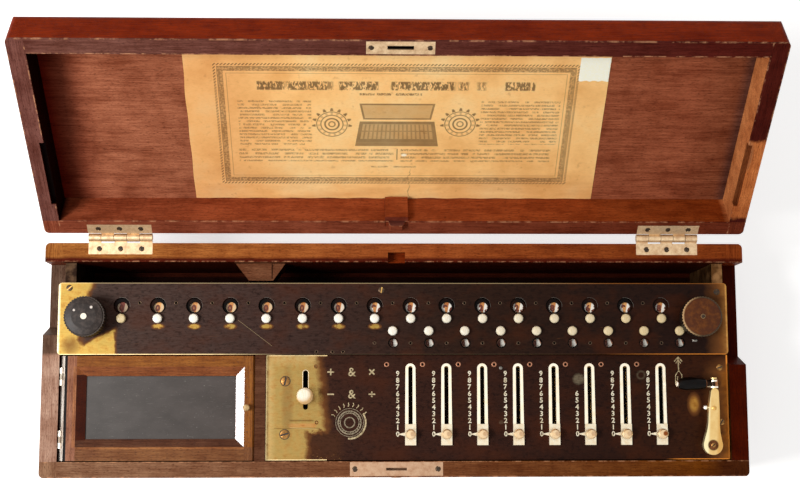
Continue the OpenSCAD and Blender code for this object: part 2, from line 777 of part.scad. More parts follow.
// Setting button of a dial, on the top of its spindle.
module button() {
    translate([0, 0, button_base + 0.05]) rotate_extrude()
        polygon([[0, 0], [3.2, 0], [button_r, 0.9], [button_r, 2.2], [3.3, 3.2], [2, 3.6],
                 [0, 3.7]]);
}

// Number disc pressed on its spindle.
module number_disc(top, r) {
    translate([0, 0, top - disc_t]) difference() {
        cylinder(h = disc_t, r = r);
        translate([0, 0, -through]) cylinder(h = disc_t + 2 * through, r = spindle_r + press_gap);
    }
}

// Dial of the result: button, number disc, and a spindle with its collar over the disc and the
// crown gear under the carriage.
module result_dial(k) {
    crown_z = square_shaft_z + 5.2;
    color(ivory) bench() translate([result_x(k - 1), result_y, 0]) {
        button();
        number_disc(result_disc_top, result_disc_r);
        translate([0, 0, crown_z]) cylinder(h = result_disc_top + 0.1 - crown_z, r = spindle_r);
        translate([0, 0, result_disc_top + press_gap]) cylinder(h = 0.4, r = 3);
        cylinder(h = button_base, r = neck_r);
        translate([0, 0, crown_z + 0.9]) cylinder(h = 1.5, r = 5);
        for (a = [0:36:324]) rotate([0, 0, a]) box([2.6, -0.5, crown_z], [5, 0.5, crown_z + 1.2]);
    }
}

// Dial of the turns counter: button, number disc and spindle.
module counter_dial(k) {
    z0 = lower_plate_top - lower_plate_t - 0.6;
    color(ivory) bench() translate([counter_x(k - 1), counter_y, 0]) {
        button();
        number_disc(counter_disc_top, counter_disc_r);
        translate([0, 0, z0]) cylinder(h = counter_disc_top - z0, r = spindle_r);
        translate([0, 0, z0]) cylinder(h = button_base - z0, r = neck_r);
    }
}

// Zeroing knob: fluted head on a neck, and a spindle with its small gear.
module zero_knob(x, dot_r) {
    flutes = 44;
    bench() translate([x, zero_knob_y, 0]) {
        translate([0, 0, 9.6]) linear_extrude(11.6) difference() {
            circle(zero_knob_r);
            for (k = [0:flutes - 1]) rotate(360 / flutes * k)
                translate([zero_knob_r + 0.25, 0]) circle(0.75, $fn = 16);
        }
        rotate_extrude() polygon([[0, 4.2], [8.6, 4.2], [9.2, 5.2], [7.4, 7], [9.4, 9.6],
                                  [15.8, 9.8], [15.8, 21.1], [15.2, 22], [10, 22.9], [0, 23.2]]);
        translate([0, 0, 23]) cylinder(h = 0.7, r = dot_r);
        translate([0, 0, -6.6]) cylinder(h = 11, r = 3);
        translate([0, 0, -2.4]) linear_extrude(1.4) spur_outline(12, 3.9, 4.9, 1.4, 0.8);
    }
}

module left_zero_knob() {
    color("#1d1512") zero_knob(left_knob_x, 2.5);
}

module right_zero_knob() {
    color("#5b3416") zero_knob(right_knob_x, 1.9);
}

case_boards();
case_hardware();
fixed_plate();
slot_rails();
bearing_frame();
selector_knob();
lid_boards();
lid_hardware();
slate_frame();
slate_panel();
crank_arm();
crank_yoke();
crank_grip();
main_shaft();
carriage_rod();
carriage_plate();
carriage_frame();
left_zero_knob();
right_zero_knob();
for (i = [1:INPUTS]) {
    digit_slider(i);
    stepped_drum(i);
}
for (k = [1:RESULTS]) result_dial(k);
for (k = [1:COUNTERS]) counter_dial(k);
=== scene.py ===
"""Looks of the arithmometer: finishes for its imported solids, and the small pieces they leave out.

Places are bench millimetres: x from the middle of the case, y back from its front face and z up
from the plane of its rim. bench_frame() turns them into the frame's metres. Places on the lid are
those of the closed lid, and lid_frame() turns them to where it stands open.
"""
import logging
import math
import random
from collections.abc import Callable
from dataclasses import dataclass
from enum import Enum

import bmesh
import bpy
from mathutils import Euler, Matrix, Vector


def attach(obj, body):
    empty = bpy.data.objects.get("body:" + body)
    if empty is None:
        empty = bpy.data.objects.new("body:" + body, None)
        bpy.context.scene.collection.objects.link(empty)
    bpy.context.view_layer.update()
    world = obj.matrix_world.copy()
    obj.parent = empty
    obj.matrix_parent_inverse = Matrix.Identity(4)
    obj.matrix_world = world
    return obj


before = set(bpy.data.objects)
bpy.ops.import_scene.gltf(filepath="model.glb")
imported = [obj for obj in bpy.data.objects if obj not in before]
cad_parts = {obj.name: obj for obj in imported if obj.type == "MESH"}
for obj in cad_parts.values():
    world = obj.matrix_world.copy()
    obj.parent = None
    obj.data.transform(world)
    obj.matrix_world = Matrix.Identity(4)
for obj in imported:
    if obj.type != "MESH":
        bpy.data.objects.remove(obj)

LOG = logging.getLogger("arithmometer")
MM = 0.001
CASE_W, CASE_D, BASE_H = 590.0, 195.6, 95.0
PITCH, FIRST_SLOT = 30.17, 11.9
INPUTS, RESULTS, COUNTERS = 8, 16, 9
HINGE_Y, LID_OPEN = 200.2, math.radians(129.8)
PLATE_Z, CARRIAGE_Z = -4.0, 3.7
RESULT_Y, COUNTER_Y = 131.5, 121.1
ZERO_KNOB_Y = 132.0
CRANK = (262.0, 26.0)

Place = tuple[float, float, float]
Plan = tuple[float, float]
Area = tuple[float, float, float, float]


class Slot(Enum):
    """The record's material slots, passed along with the added screws; nothing reads them."""

    LID_WOOD = "lid_wood"
    BRASS = "bare_brass"
    LACQUER = "dark_lacquer"
    NICKEL = "nickel_silver"
    STEEL = "steel"
    IVORY = "ivory"
    BLACK_ENAMEL = "black_enamel"


class Axis(Enum):
    """The direction that a grain or a brushing runs in."""

    X = 0
    Y = 1


# ---- places ----


def lid_frame() -> Matrix:
    """The matrix from bench millimetres of the closed lid to the frame with the lid open.

    Returns:
        The matrix.
    """
    to_axis = Matrix.Translation((0, -HINGE_Y, 0))
    opened = Matrix.Rotation(-LID_OPEN, 4, "X")
    back = Matrix.Translation((0, HINGE_Y - CASE_D / 2, BASE_H))
    return Matrix.Scale(MM, 4) @ back @ opened @ to_axis


def bench_frame() -> Matrix:
    """The matrix from bench millimetres to the frame."""
    return Matrix.Scale(MM, 4) @ Matrix.Translation((0, -CASE_D / 2, BASE_H))


def slot_x(index: float) -> float:
    """The width place of an input slot, counted from 0."""
    return FIRST_SLOT + PITCH * index


# ---- materials ----


def linear(colour: str) -> tuple[float, float, float, float]:
    """Linear colour of an sRGB hex value.

    Args:
        colour: The value as "#rrggbb".

    Returns:
        Red, green, blue and an alpha of 1.
    """
    parts = [int(colour[i : i + 2], 16) / 255 for i in (1, 3, 5)]
    red, green, blue = (c / 12.92 if c <= 0.04045 else ((c + 0.055) / 1.055) ** 2.4 for c in parts)
    return (red, green, blue, 1.0)


def put(tree: bpy.types.NodeTree, kind: str, inputs: dict | None = None,
        **settings) -> bpy.types.Node:
    """Adds a node with its settings and links.

    Args:
        tree: The tree that it goes into.
        kind: The node's type, without "ShaderNode".
        inputs: Values, hex colours or sockets for its inputs, by name or number.
        settings: Attributes of the node; stops gives a colour ramp's places and colours.

    Returns:
        The new node.
    """
    made = tree.nodes.new("ShaderNode" + kind)
    stops = settings.pop("stops", None)
    for name, value in settings.items():
        setattr(made, name, value)
    for name, value in (inputs or {}).items():
        if isinstance(value, Value):
            tree.links.new(value.socket, made.inputs[name])
        elif isinstance(value, bpy.types.NodeSocket):
            tree.links.new(value, made.inputs[name])
        else:
            made.inputs[name].default_value = linear(value) if isinstance(value, str) else value
    for number, (place, colour) in enumerate(stops or ()):
        ramp = made.color_ramp.elements
        stop = ramp[number] if number < 2 else ramp.new(place)
        stop.position, stop.color = place, linear(colour)
    return made


@dataclass(frozen=True)
class Value:
    """A value that a node of a material gives. Sums of it add further nodes."""

    tree: bpy.types.NodeTree
    socket: bpy.types.NodeSocket

    def math(self, operation: str, *others: "Input", clamp: bool = False) -> "Value":
        """An operation on this value and up to two others."""
        return combined(self.tree, operation, self, *others, clamp=clamp)

    def __add__(self, other: "Input") -> "Value":
        """This value and another together."""
        return self.math("ADD", other)

    def __radd__(self, other: "Input") -> "Value":
        """Another value and this one together."""
        return combined(self.tree, "ADD", other, self)

    def __sub__(self, other: "Input") -> "Value":
        """This value less another."""
        return self.math("SUBTRACT", other)

    def __rsub__(self, other: "Input") -> "Value":
        """Another value less this one."""
        return combined(self.tree, "SUBTRACT", other, self)

    def __mul__(self, other: "Input") -> "Value":
        """This value times another."""
        return self.math("MULTIPLY", other)

    def __rmul__(self, other: "Input") -> "Value":
        """Another value times this one."""
        return combined(self.tree, "MULTIPLY", other, self)

    def __truediv__(self, other: "Input") -> "Value":
        """This value divided by another."""
        return self.math("DIVIDE", other)

    def __and__(self, other: "Input") -> "Value":
        """1 where both masks are 1."""
        return self * other

    def __rand__(self, other: "Input") -> "Value":
        """1 where both masks are 1."""
        return other * self

    def __or__(self, other: "Input") -> "Value":
        """1 where one of two masks is 1."""
        return self.math("MAXIMUM", other)

    def __ror__(self, other: "Input") -> "Value":
        """1 where one of two masks is 1."""
        return combined(self.tree, "MAXIMUM", other, self)

    def __invert__(self) -> "Value":
        """1 where the mask is 0."""
        return 1.0 - self

    def __abs__(self) -> "Value":
        """This value without its sign."""
        return self.math("ABSOLUTE")


Input = Value | float | str


def combined(tree: bpy.types.NodeTree, operation: str, *terms: Input, clamp: bool = False) -> Value:
    """The value of a new node that joins terms.

    Args:
        tree: The tree that it goes into.
        operation: The node's operation.
        terms: Up to three values.
        clamp: Whether the result is kept from 0 to 1.

    Returns:
        The node's value.
    """
    inputs = dict(enumerate((*terms, 0.0, 0.0)[:3]))
    return Value(tree, put(tree, "Math", inputs, operation=operation, use_clamp=clamp).outputs[0])


@dataclass
class Pattern:
    """A material's node tree, with the patterns that finishes share. Lengths are bench mm."""

    tree: bpy.types.NodeTree
    closed_lid: bool = False

    def __post_init__(self) -> None:
        """Finds the place of each surface point, on the closed lid where that is asked."""
        coordinates = put(self.tree, "TexCoord").outputs["Object"]
        bench = self.node("Mapping", {"Vector": coordinates, "Scale": (1000, 1000, 1000),
                                      "Location": (0, CASE_D / 2, -BASE_H)})
        if self.closed_lid:
            bench = self.node("VectorRotate", {"Vector": bench, "Center": (0, HINGE_Y, 0),
                                               "Angle": LID_OPEN}, rotation_type="X_AXIS")
        self.place = bench
        split = put(self.tree, "SeparateXYZ", {0: bench})
        self.x, self.y, self.z = (Value(self.tree, socket) for socket in split.outputs)

    def node(self, kind: str, inputs: dict, output: int = 0, **settings) -> Value:
        """One output of a new node."""
        return Value(self.tree, put(self.tree, kind, inputs, **settings).outputs[output])

    def run(self, start: float, length: float) -> Value:
        """0 at a place in the width and 1 a length further to the right."""
        return (self.x - start) / length

    def cell(self, place: float) -> Value:
        """The distance in the width from the nearest of the places one pitch apart."""
        return (self.x - place).math("WRAP", PITCH / 2, -PITCH / 2)

    def step(self, value: Value, edge: float, soft: float = 0.1) -> Value:
        """0 below the edge and 1 above it, over a soft width."""
        return self.node("MapRange", {0: value, 1: edge - soft, 2: edge + soft})

    def below(self, value: Value, edge: float, soft: float = 0.1) -> Value:
        """1 below the edge and 0 above it, over a soft width."""
        return self.node("MapRange", {0: value, 1: edge + soft, 2: edge - soft})

    def between(self, value: Value, low: float, high: float, soft: float = 0.1) -> Value:
        """1 between two edges and 0 outside them."""
        return self.without(self.step(value, low, soft), self.step(value, high, soft))

    def without(self, first: Input, second: Input) -> Value:
        """1 where the first mask is 1 and the second isn't."""
        return combined(self.tree, "SUBTRACT", first, second, clamp=True)

    def noise(self, size: float, stretch: Place = (1, 1, 1), detail: float = 3.0,
              rough: float = 0.5, seed: float = 0.0, warp: float = 0.0) -> Value:
        """Smooth noise.

        Args:
            size: The size of its features in mm.
            stretch: How much longer they are along each axis.
            detail: How many finer octaves it has.
            rough: How strong these are.
            seed: A shift that sets it apart.
            warp: How far it is warped.

        Returns:
            The noise, from 0 to 1.
        """
        scale = tuple(1 / (size * s) for s in stretch)
        vector = self.node("Mapping", {"Vector": self.place, "Scale": scale,
                                       "Location": (seed, seed * 0.7, -seed)})
        return self.node("TexNoise", {"Vector": vector, "Scale": 1.0, "Detail": detail,
                                      "Roughness": rough, "Distortion": warp})

    def spot(self, centre: Plan, radii: Plan, edge: float = 0.35, x: Value | None = None) -> Value:
        """1 in an ellipse of the plan, fading out at its edge.

        Args:
            centre: Its middle.
            radii: Its half axes.
            edge: The share of its radius over which it fades.
            x: Another value to read the width from.

        Returns:
            The mask.
        """
        across = ((self.x if x is None else x) - centre[0]) / radii[0]
        along = (self.y - centre[1]) / radii[1]
        square = across * across + along * along
        return self.node("MapRange", {0: square, 1: 1 + edge, 2: 1 - edge})

    def mix(self, share: Input, first: Input, second: Input) -> Value:
        """The first colour where the share is 0 and the second where it is 1."""
        return self.node("Mix", {0: share, 6: first, 7: second}, 2, data_type="RGBA")

    def tint(self, share: Input, colour: Input, by: Input) -> Value:
        """A colour multiplied by another where the share is 1."""
        return self.node("Mix", {0: share, 6: colour, 7: by}, 2, data_type="RGBA",
                         blend_type="MULTIPLY")

    def level(self, share: Input, low: float, high: float) -> Value:
        """A number from low to high as the share goes from 0 to 1."""
        return self.node("MapRange", {0: share, 3: low, 4: high})

    def ramp(self, value: Input, *stops: tuple[float, str]) -> Value:
        """A colour that runs through the stops as the value rises."""
        return self.node("ValToRGB", {0: value}, stops=stops)

    def relief(self, height: Input, depth: float) -> Value:
        """A normal that stands for a relief of a depth in mm."""
        return self.node("Bump", {"Height": height, "Distance": depth * MM, "Strength": 1.0})

    def finish(self, colour: Input, roughness: Input, normal: Value | None = None,
               metallic: Input = 0.0, **more: Input) -> None:
        """Joins the values to the surface.

        Args:
            colour: The base colour.
            roughness: The roughness.
            normal: The normal of a relief.
            metallic: How far it is metal.
            more: Values of its other sockets, by name.
        """
        inputs = {"Base Color": colour, "Roughness": roughness, "Metallic": metallic}
        for name, value in more.items():
            inputs[name.replace("_", " ").title().replace("Ior", "IOR")] = value
        if normal is not None:
            inputs["Normal"] = normal
        shader = put(self.tree, "BsdfPrincipled", inputs)
        put(self.tree, "OutputMaterial", {"Surface": shader.outputs[0]})


class Finish:
    """A surface finish. Each kind paints a material of its own name."""

    name: str
    closed_lid = False

    def make(self) -> bpy.types.Material:
        """The material, made on its first use and shared after that.

        Returns:
            The material.
        """
        found = bpy.data.materials.get(self.name)
        if found is None:
            found = bpy.data.materials.new(self.name)
            found.use_nodes = True
            found.node_tree.nodes.clear()
            self.paint(Pattern(found.node_tree, self.closed_lid))
        return found

    def paint(self, p: Pattern) -> None:
        """Builds the nodes of the material."""
        raise NotImplementedError


@dataclass(frozen=True)
class Mahogany(Finish):
    """French polished mahogany: fine dark lines and pores in a red ground, duller where rubbed."""

    name: str = "french_polished_mahogany"
    ground: str = "#9c3206"
    rough: float = 0.36
    gloss: float = 0.02

    def grain(self, p: Pattern, along: Axis, seed: float) -> tuple[Value, Value]:
        """Brightness of the streaks and depth of the pores along one axis.

        Args:
            p: The material's pattern.
            along: The direction of the grain.
            seed: A shift that sets it apart.

        Returns:
            The brightness of the streaks and the depth of the pores.
        """
        long = (24, 1, 1) if along is Axis.X else (1, 24, 1)
        broad = p.noise(7, (9, 1, 1) if along is Axis.X else (1, 9, 1), 4, 0.6, seed, 0.5)
        fine = p.noise(0.8, long, 4, 0.66, seed + 3, 0.1)
        pores = p.noise(0.34, tuple(max(1.0, s * 0.35) for s in long), 2, 0.5, seed + 7)
        streak = broad * 0.35 + fine * 0.65
        return p.step(streak, 0.48, 0.13), p.step(pores, 0.62, 0.05)

    def zones(self, p: Pattern) -> Input:
        """The ground colour by place. The plain finish has one."""
        return self.ground

    def arris(self, p: Pattern) -> Input:
        """Mask of the edges where the polish is chipped away. The plain finish has none."""
        return 0.0

    def polish(self, p: Pattern) -> Input:
        """Mask of a mirror-like polish over the wood. The plain finish has none."""
        return 0.0

    def sides(self, p: Pattern) -> Input:
        """Mask of the boards whose grain runs along the depth."""
        return p.step(abs(p.x), CASE_W / 2 - 14.45, 0.02)

    def paint(self, p: Pattern) -> None:
        """Grain along the width, and along the depth on the side boards.

        Args:
            p: The material's pattern.
        """
        side = self.sides(p)
        streak_x, pore_x = self.grain(p, Axis.X, 1.0)
        streak_y, pore_y = self.grain(p, Axis.Y, 5.0)
        streak = p.node("Mix", {0: side, 2: streak_x, 3: streak_y})
        pore = p.node("Mix", {0: side, 2: pore_x, 3: pore_y})
        colour = p.tint(1.0, self.zones(p), p.ramp(streak, (0.0, "#b39a90"), (1.0, "#ffffff")))
        colour = p.tint(pore * 0.7, colour, "#6a4c42")
        rub = p.noise(22, detail=5, rough=0.6, seed=11)
        colour = p.tint(p.step(rub, 0.56, 0.14), colour, "#d8c8c0")
        chips = self.arris(p) & p.step(p.noise(8, detail=6, rough=0.7, seed=15), 0.54, 0.06)
        colour = p.mix(chips * 0.6, colour, "#d89a70")
        height = streak * 0.4 - pore
        p.finish(colour, p.level(rub, self.rough - 0.1, self.rough + 0.2), p.relief(height, 0.05),
                 specular_ior_level=self.gloss, coat_weight=self.polish(p), coat_roughness=0.06)


@dataclass(frozen=True)
class CaseWood(Mahogany):
    """The case: pale rims at the left and front, dark red at the right, and a painted shade that
    makes the inside near black.
    """

    name: str = "case_mahogany"
    ground: str = "#86340f"
    bay: Plan = (13.25, 179.55)

    def zones(self, p: Pattern) -> Input:
        """Front rail, rear rail, side boards, divider, block and the inside by their places, the
        inside below the rim in painted shade.

        Args:
            p: The material's pattern.

        Returns:
            The colour by place.
        """
        run = p.run(-CASE_W / 2, CASE_W)
        width = abs(p.x)
        ragged = p.y + p.noise(14, (3, 1, 1), 4, 0.6, 13) * 3.0
        top = p.step(p.z, -3.5, 1.0)
        colour = p.mix(top & p.below(p.y, self.bay[0]), self.ground,
                       p.ramp(run, (0.0, "#a17a5d"), (0.45, "#8a593a"), (0.93, "#7a420f"),
                              (0.965, "#52280f")))
        rear = p.ramp(run, (0.0, "#c17f3e"), (0.5, "#af5d2c"), (1.0, "#99481c"))
        rear = p.mix(p.below(ragged, 184.6, 1.2), rear, "#602212")
        colour = p.mix(top & p.step(p.y, self.bay[1], 0.05), colour, rear)
        side = p.step(width, 280.4, 0.05) & p.between(p.y, *self.bay)
        # the side boards' tops run from pale at the left to near black at the right
        bare = p.ramp(run, (0.02, "#c49e87"), (0.98, "#521501"))
        bare = p.mix(p.below(p.x, 0) & p.step(p.y, 102, 1.5), bare, "#7a6150")
        colour = p.mix(side & p.step(p.z, -26, 0.5), colour, bare)
        face = p.step(width, 294.9, 0.05) & p.below(p.z, -0.4, 0.3)
        colour = p.mix(face, colour, self.ground)
        # painted shade: the inside below the rim is made near black, a little lighter on the rear
        # wall
        inner = p.below(width, 280.6, 0.05) & p.between(p.y, 13.15, 179.65)
        colour = p.mix(inner, colour, "#2a1008")
        colour = p.mix(inner & p.step(p.y, 176), colour, "#4a1c0c")
        rail = p.between(p.x, -118.2, -109.0) & p.step(p.z, -1.2, 0.2)
        colour = p.mix(inner & rail, colour, "#6c4631")
        block = p.between(p.x, -137, -94) & (p.step(p.y, 164.5) & p.step(p.z, -13, 0.1))
        return p.mix(inner & block, colour, "#8a5a3e")

    def arris(self, p: Pattern) -> Input:
        """The inner edges of the front and rear rails and the front's outer edge."""
        rails = p.between(p.y, 12.5, 13.2, 0.3) | p.between(p.y, 179.6, 180.5, 0.3)
        return (rails | p.below(p.y, 0.9, 0.4)) & p.step(p.z, -1.6, 0.4)


@dataclass(frozen=True)
class LidWood(Mahogany):
    """The lid, patterned as if closed: glossy red outside, greyed rims, orange brown inside, with
    painted light and shade on its inner walls, rebates, keeper recess and panel.
    """

    name: str = "lid_mahogany"
    closed_lid = True

    def sides(self, p: Pattern) -> Input:
        """Mask of the lid's side boards."""
        wall = p.step(abs(p.x), CASE_W / 2 - 13.75, 0.02)
        return wall & p.below(p.z, 29.9, 0.05)

    def zones(self, p: Pattern) -> Input:
        """Rims, the patch that the carriage has rubbed raw, the four inner walls and the panel,
        with painted light and shade on the walls and the left wall's painted shadow on the panel.

        Args:
            p: The material's pattern.

        Returns:
            The colour by place.
        """
        run = p.run(-CASE_W / 2, CASE_W)
        rim = p.below(p.z, 1.2, 0.4)
        tone = p.ramp(run, (0.0, "#7e4f46"), (0.06, "#815448"), (0.9, "#5f2119"), (1.0, "#561c13"))
        tone = p.mix(p.step(p.y, 181.8), tone, p.ramp(run, (0.0, "#9f563c"), (1.0, "#7a3620")))
        ragged = p.y + p.noise(5, detail=4, seed=21) * 6
        raw = p.step(p.x, 281.2, 0.1) & p.between(ragged, 98, 180, 2)
        tone = p.mix(raw, tone, "#e1874a")
        lens = p.step(p.x, 276.5) & p.spot((281.8, 112), (5.0, 17), 0.3)
        tone = p.mix(lens & raw, tone, "#d08a58")
        width = abs(p.x)
        # painted shade: the keeper's recess is made near black
        keeper = p.below(width, 10.4) & p.between(p.y, 4.8, 8.8) & p.between(p.z, 0.4, 20)
        colour = p.mix(keeper, p.mix(rim, self.ground, tone), "#0c0604")
        # painted shade: the rebates are dark inside, near black in the left one
        recess = p.between(width, 281.3, 293) & p.between(p.z, 1.3, 29.9)
        colour = p.mix(recess & p.between(p.y, 13.9, 181.7), colour,
                       p.ramp(run, (0.03, "#140503"), (0.97, "#8a4e2a")))
        inner = p.between(p.y, 13.6, 182.0) & p.between(p.x, -281.4, 281.4)
        # painted shade and light: the left inner wall is made near black and the right one bright
        # orange
        wall = p.ramp(run, (0.024, "#100100"), (0.03, "#ab5939"), (0.97, "#a54e1e"),
                      (0.975, "#e09258"))
        colour = p.mix(inner & p.between(p.z, 1.3, 32.0, 0.4), colour, wall)
        panel = inner & p.between(p.z, 29.85, 32.0, 0.05)
        # the dark band along the panel's left edge is a painted shadow of the left wall
        faded = p.ramp(run, (0.025, "#751908"), (0.09, "#b76f50"), (0.35, "#af6b4c"),
                       (0.9, "#ac6041"), (0.96, "#9a5a3c"), (0.973, "#6c463a"))
        return p.mix(panel, colour, faded)

    def arris(self, p: Pattern) -> Input:
        """The lid's outer edges and the edges of its rims towards the inside.

        Args:
            p: The material's pattern.

        Returns:
            The mask.
        """
        width = abs(p.x)
        inner = p.between(p.y, 12.9, 13.9, 0.3) | p.between(p.y, 181.7, 182.6, 0.3)
        inner = inner & p.below(width, 282) | p.between(width, 281.1, 282.0, 0.3)
        outer = p.below(p.y, 0.8, 0.4) | p.step(width, 294.2, 0.4)
        return (inner | outer) & p.below(p.z, 1.4, 0.5)


@dataclass(frozen=True)
class FrameWood(Mahogany):
    """The slate lid's frame: warm oiled mahogany with glossy bevels, painted shade on two of them,
    and a white strip of painted highlight along its left edge.
    """

    name: str = "slate_frame_mahogany"
    ground: str = "#9f632a"
    rough: float = 0.3
    gloss: float = 0.1
    stiles: Plan = (-266.0, -126.6)
    rails: Plan = (25.1, 91.7)
    groove: Plan = (-275.9, -273.6)

    def sides(self, p: Pattern) -> Input:
        """Mask of the two short stiles."""
        return ~p.between(p.x, *self.stiles)

    def zones(self, p: Pattern) -> Input:
        """Stiles, rails and bevels, two bevels in painted shade, the white painted highlight along
        the left edge and on the hinge knuckles, the groove's painted shade, and the brass knob.

        Args:
            p: The material's pattern.

        Returns:
            The colour by place.
        """
        colour = p.mix(p.below(p.y, 25.1), self.ground, "#8f5e38")
        colour = p.mix(p.below(p.x, -266), colour, "#aa7356")
        across = p.x - -258.2
        along = p.y - 31.7
        bevel = p.between(p.x, *self.stiles) & p.between(p.y, *self.rails)
        colour = p.mix(bevel, colour, "#955730")
        # painted shade: the front and left bevels, which face away from the light, are made darker
        colour = p.mix(bevel & p.below(along, 0.0), colour, "#65402d")
        left = bevel & (p.below(across, 0.0) & p.between(p.y - 57.8, -27, 27))
        colour = p.mix(left, colour, "#4a1c0a")
        lip = p.between(p.x, -268.6, -266.2, 0.5) & p.between(p.y, *self.rails)
        lip = lip | p.between(p.y, 23.6, 25.2, 0.4) & p.between(p.x, *self.stiles)
        colour = p.mix(lip * 0.55, colour, "#c4824a")
        # painted shade: a near-black band in the groove; painted highlight: the white strip along
        # the frame's left edge
        colour = p.mix(p.between(p.x, *self.groove), colour, "#0c0503")
        colour = p.mix(p.below(p.x, self.groove[0]) & p.step(p.z, -4.4, 0.2), colour, "#fffdf2")
        knob = p.spot((-124.6, 57.5), (3.3, 3.3), 0.05) & p.step(p.z, -0.22, 0.05)
        # the hinge knuckles are painted near white, part of the same painted highlight
        knuckle = p.below(p.x, -275.7) & p.below(abs(abs(p.y - 57.5) - 26.0), 2.6)
        return p.mix(knuckle, p.mix(knob, colour, "#e0c088"), "#e8e0cc")

    def polish(self, p: Pattern) -> Input:
        """The right bevel, which throws back the lamp.

        Args:
            p: The material's pattern.

        Returns:
            The mask.
        """
        corner = abs(p.y - 58.1) - 26.4
        reach = p.x + 134 - corner.math("MAXIMUM", 0.0)
        return p.step(reach, 0.0) & p.between(p.x, -134, -126.6) & p.below(p.z, -0.34, 0.02)


@dataclass(frozen=True)
class Metal(Finish):
    """A solid metal: brushed or cast, with tarnish in patches and fine scratches."""

    name: str
    colour: str
    tarnish: str
    amount: float = 0.5
    rough: float = 0.32
    brush: Place = (1, 1, 1)
    grit: float = 0.25
    patch: float = 6.0

    def paint(self, p: Pattern) -> None:
        """Tarnish patches, finer specks in them and the brushing.

        Args:
            p: The material's pattern.
        """
        patches = p.noise(self.patch, detail=5, rough=0.65, seed=3)
        dull = p.step(patches, 0.52, 0.14) * self.amount
        colour = self.zones(p, p.mix(dull, self.colour, self.tarnish))
        lines = p.noise(self.grit, self.brush, 2, 0.6, 9)
        p.finish(colour, p.level(dull.math("ADD", lines * 0.4, clamp=True), self.rough, self.rough
                                 + 0.3), p.relief(lines, 0.012), metallic=1.0)

    def zones(self, p: Pattern, colour: Input) -> Input:
        """Local changes of colour. The plain metal has none."""
        return colour


@dataclass(frozen=True)
class LacqueredBrass(Finish):
    """Brass plate under a dark bronzing lacquer that hands have worn through to the metal."""

    name: str

    def bare(self, p: Pattern) -> Input:
        """How far the lacquer is gone: 0 whole, a half browned and 1 down to the metal."""
        raise NotImplementedError

    def edge(self, p: Pattern) -> Input:
        """Mask of the bright edges: painted highlights along the plate's edges, and bright
        scratches.
        """
        raise NotImplementedError

    def coat(self, p: Pattern) -> Input:
        """The lacquer's colour by place."""
        raise NotImplementedError

    def metal(self, p: Pattern) -> Input:
        """The metal's colour by place."""
        raise NotImplementedError

    def ragged(self, p: Pattern, size: float, reach: float, seed: float) -> Input:
        """An uneven shift, in mm, that breaks up the outline of a worn place."""
        return (p.noise(size, detail=6, rough=0.62, seed=seed) - 0.5) * reach

    def paint(self, p: Pattern) -> None:
        """Lacquer with faint streaks, a brown margin, brushed and stained metal, and painted
        highlights on the edges.

        Args:
            p: The material's pattern.
        """
        gone = self.bare(p)
        stain = p.step(p.noise(5, detail=6, rough=0.66, seed=29), 0.55, 0.12)
        streak = p.noise(1.0, (5, 1, 1), 4, 0.62, 31)
        metal = p.tint(stain * 0.5, self.metal(p), "#bf8a58")
        metal = p.tint(p.step(streak, 0.6, 0.12) * 0.45, metal, "#d0b48c")
        coat = p.tint(p.step(streak, 0.55, 0.14), self.coat(p), "#d0beb6")
        mottle = p.step(p.noise(2.4, (1.5, 1, 1), 5, 0.66, 33), 0.58, 0.06)
        coat = p.tint(mottle * 0.6, coat, "#6c5850")
        cloud = p.step(p.noise(24, (1.5, 1, 1), 4, 0.6, 17), 0.57, 0.1)
        coat = p.mix(cloud * 0.3, coat, "#54260e")
        scratch = (p.step(p.noise(0.5, (22, 1.4, 1), 2, 0.5, 37), 0.71, 0.02)
                   & p.step(p.noise(18, seed=39), 0.55, 0.05))
        coat = p.mix(scratch * 0.18, coat, "#8a5a34")
        colour = p.mix(p.node("MapRange", {0: gone, 1: 0.05, 2: 0.5}), coat, "#6e4220")
        shown = p.node("MapRange", {0: gone, 1: 0.45, 2: 0.8})
        # painted highlight: pale metal for the bright edges
        rubbed = p.mix(p.step(p.x, 130, 50), "#f6d9a0", "#dc8636")
        colour = p.mix(self.edge(p), p.mix(shown, colour, metal), rubbed)
        shown = shown | self.edge(p)
        rough = p.node("Mix", {0: shown, 2: p.level(streak, 0.36, 0.6),
                               3: p.level(stain, 0.32, 0.55)})
        p.finish(colour, rough, p.relief(streak * 0.3 - shown, 0.02), metallic=shown,
                 specular_ior_level=0.07)


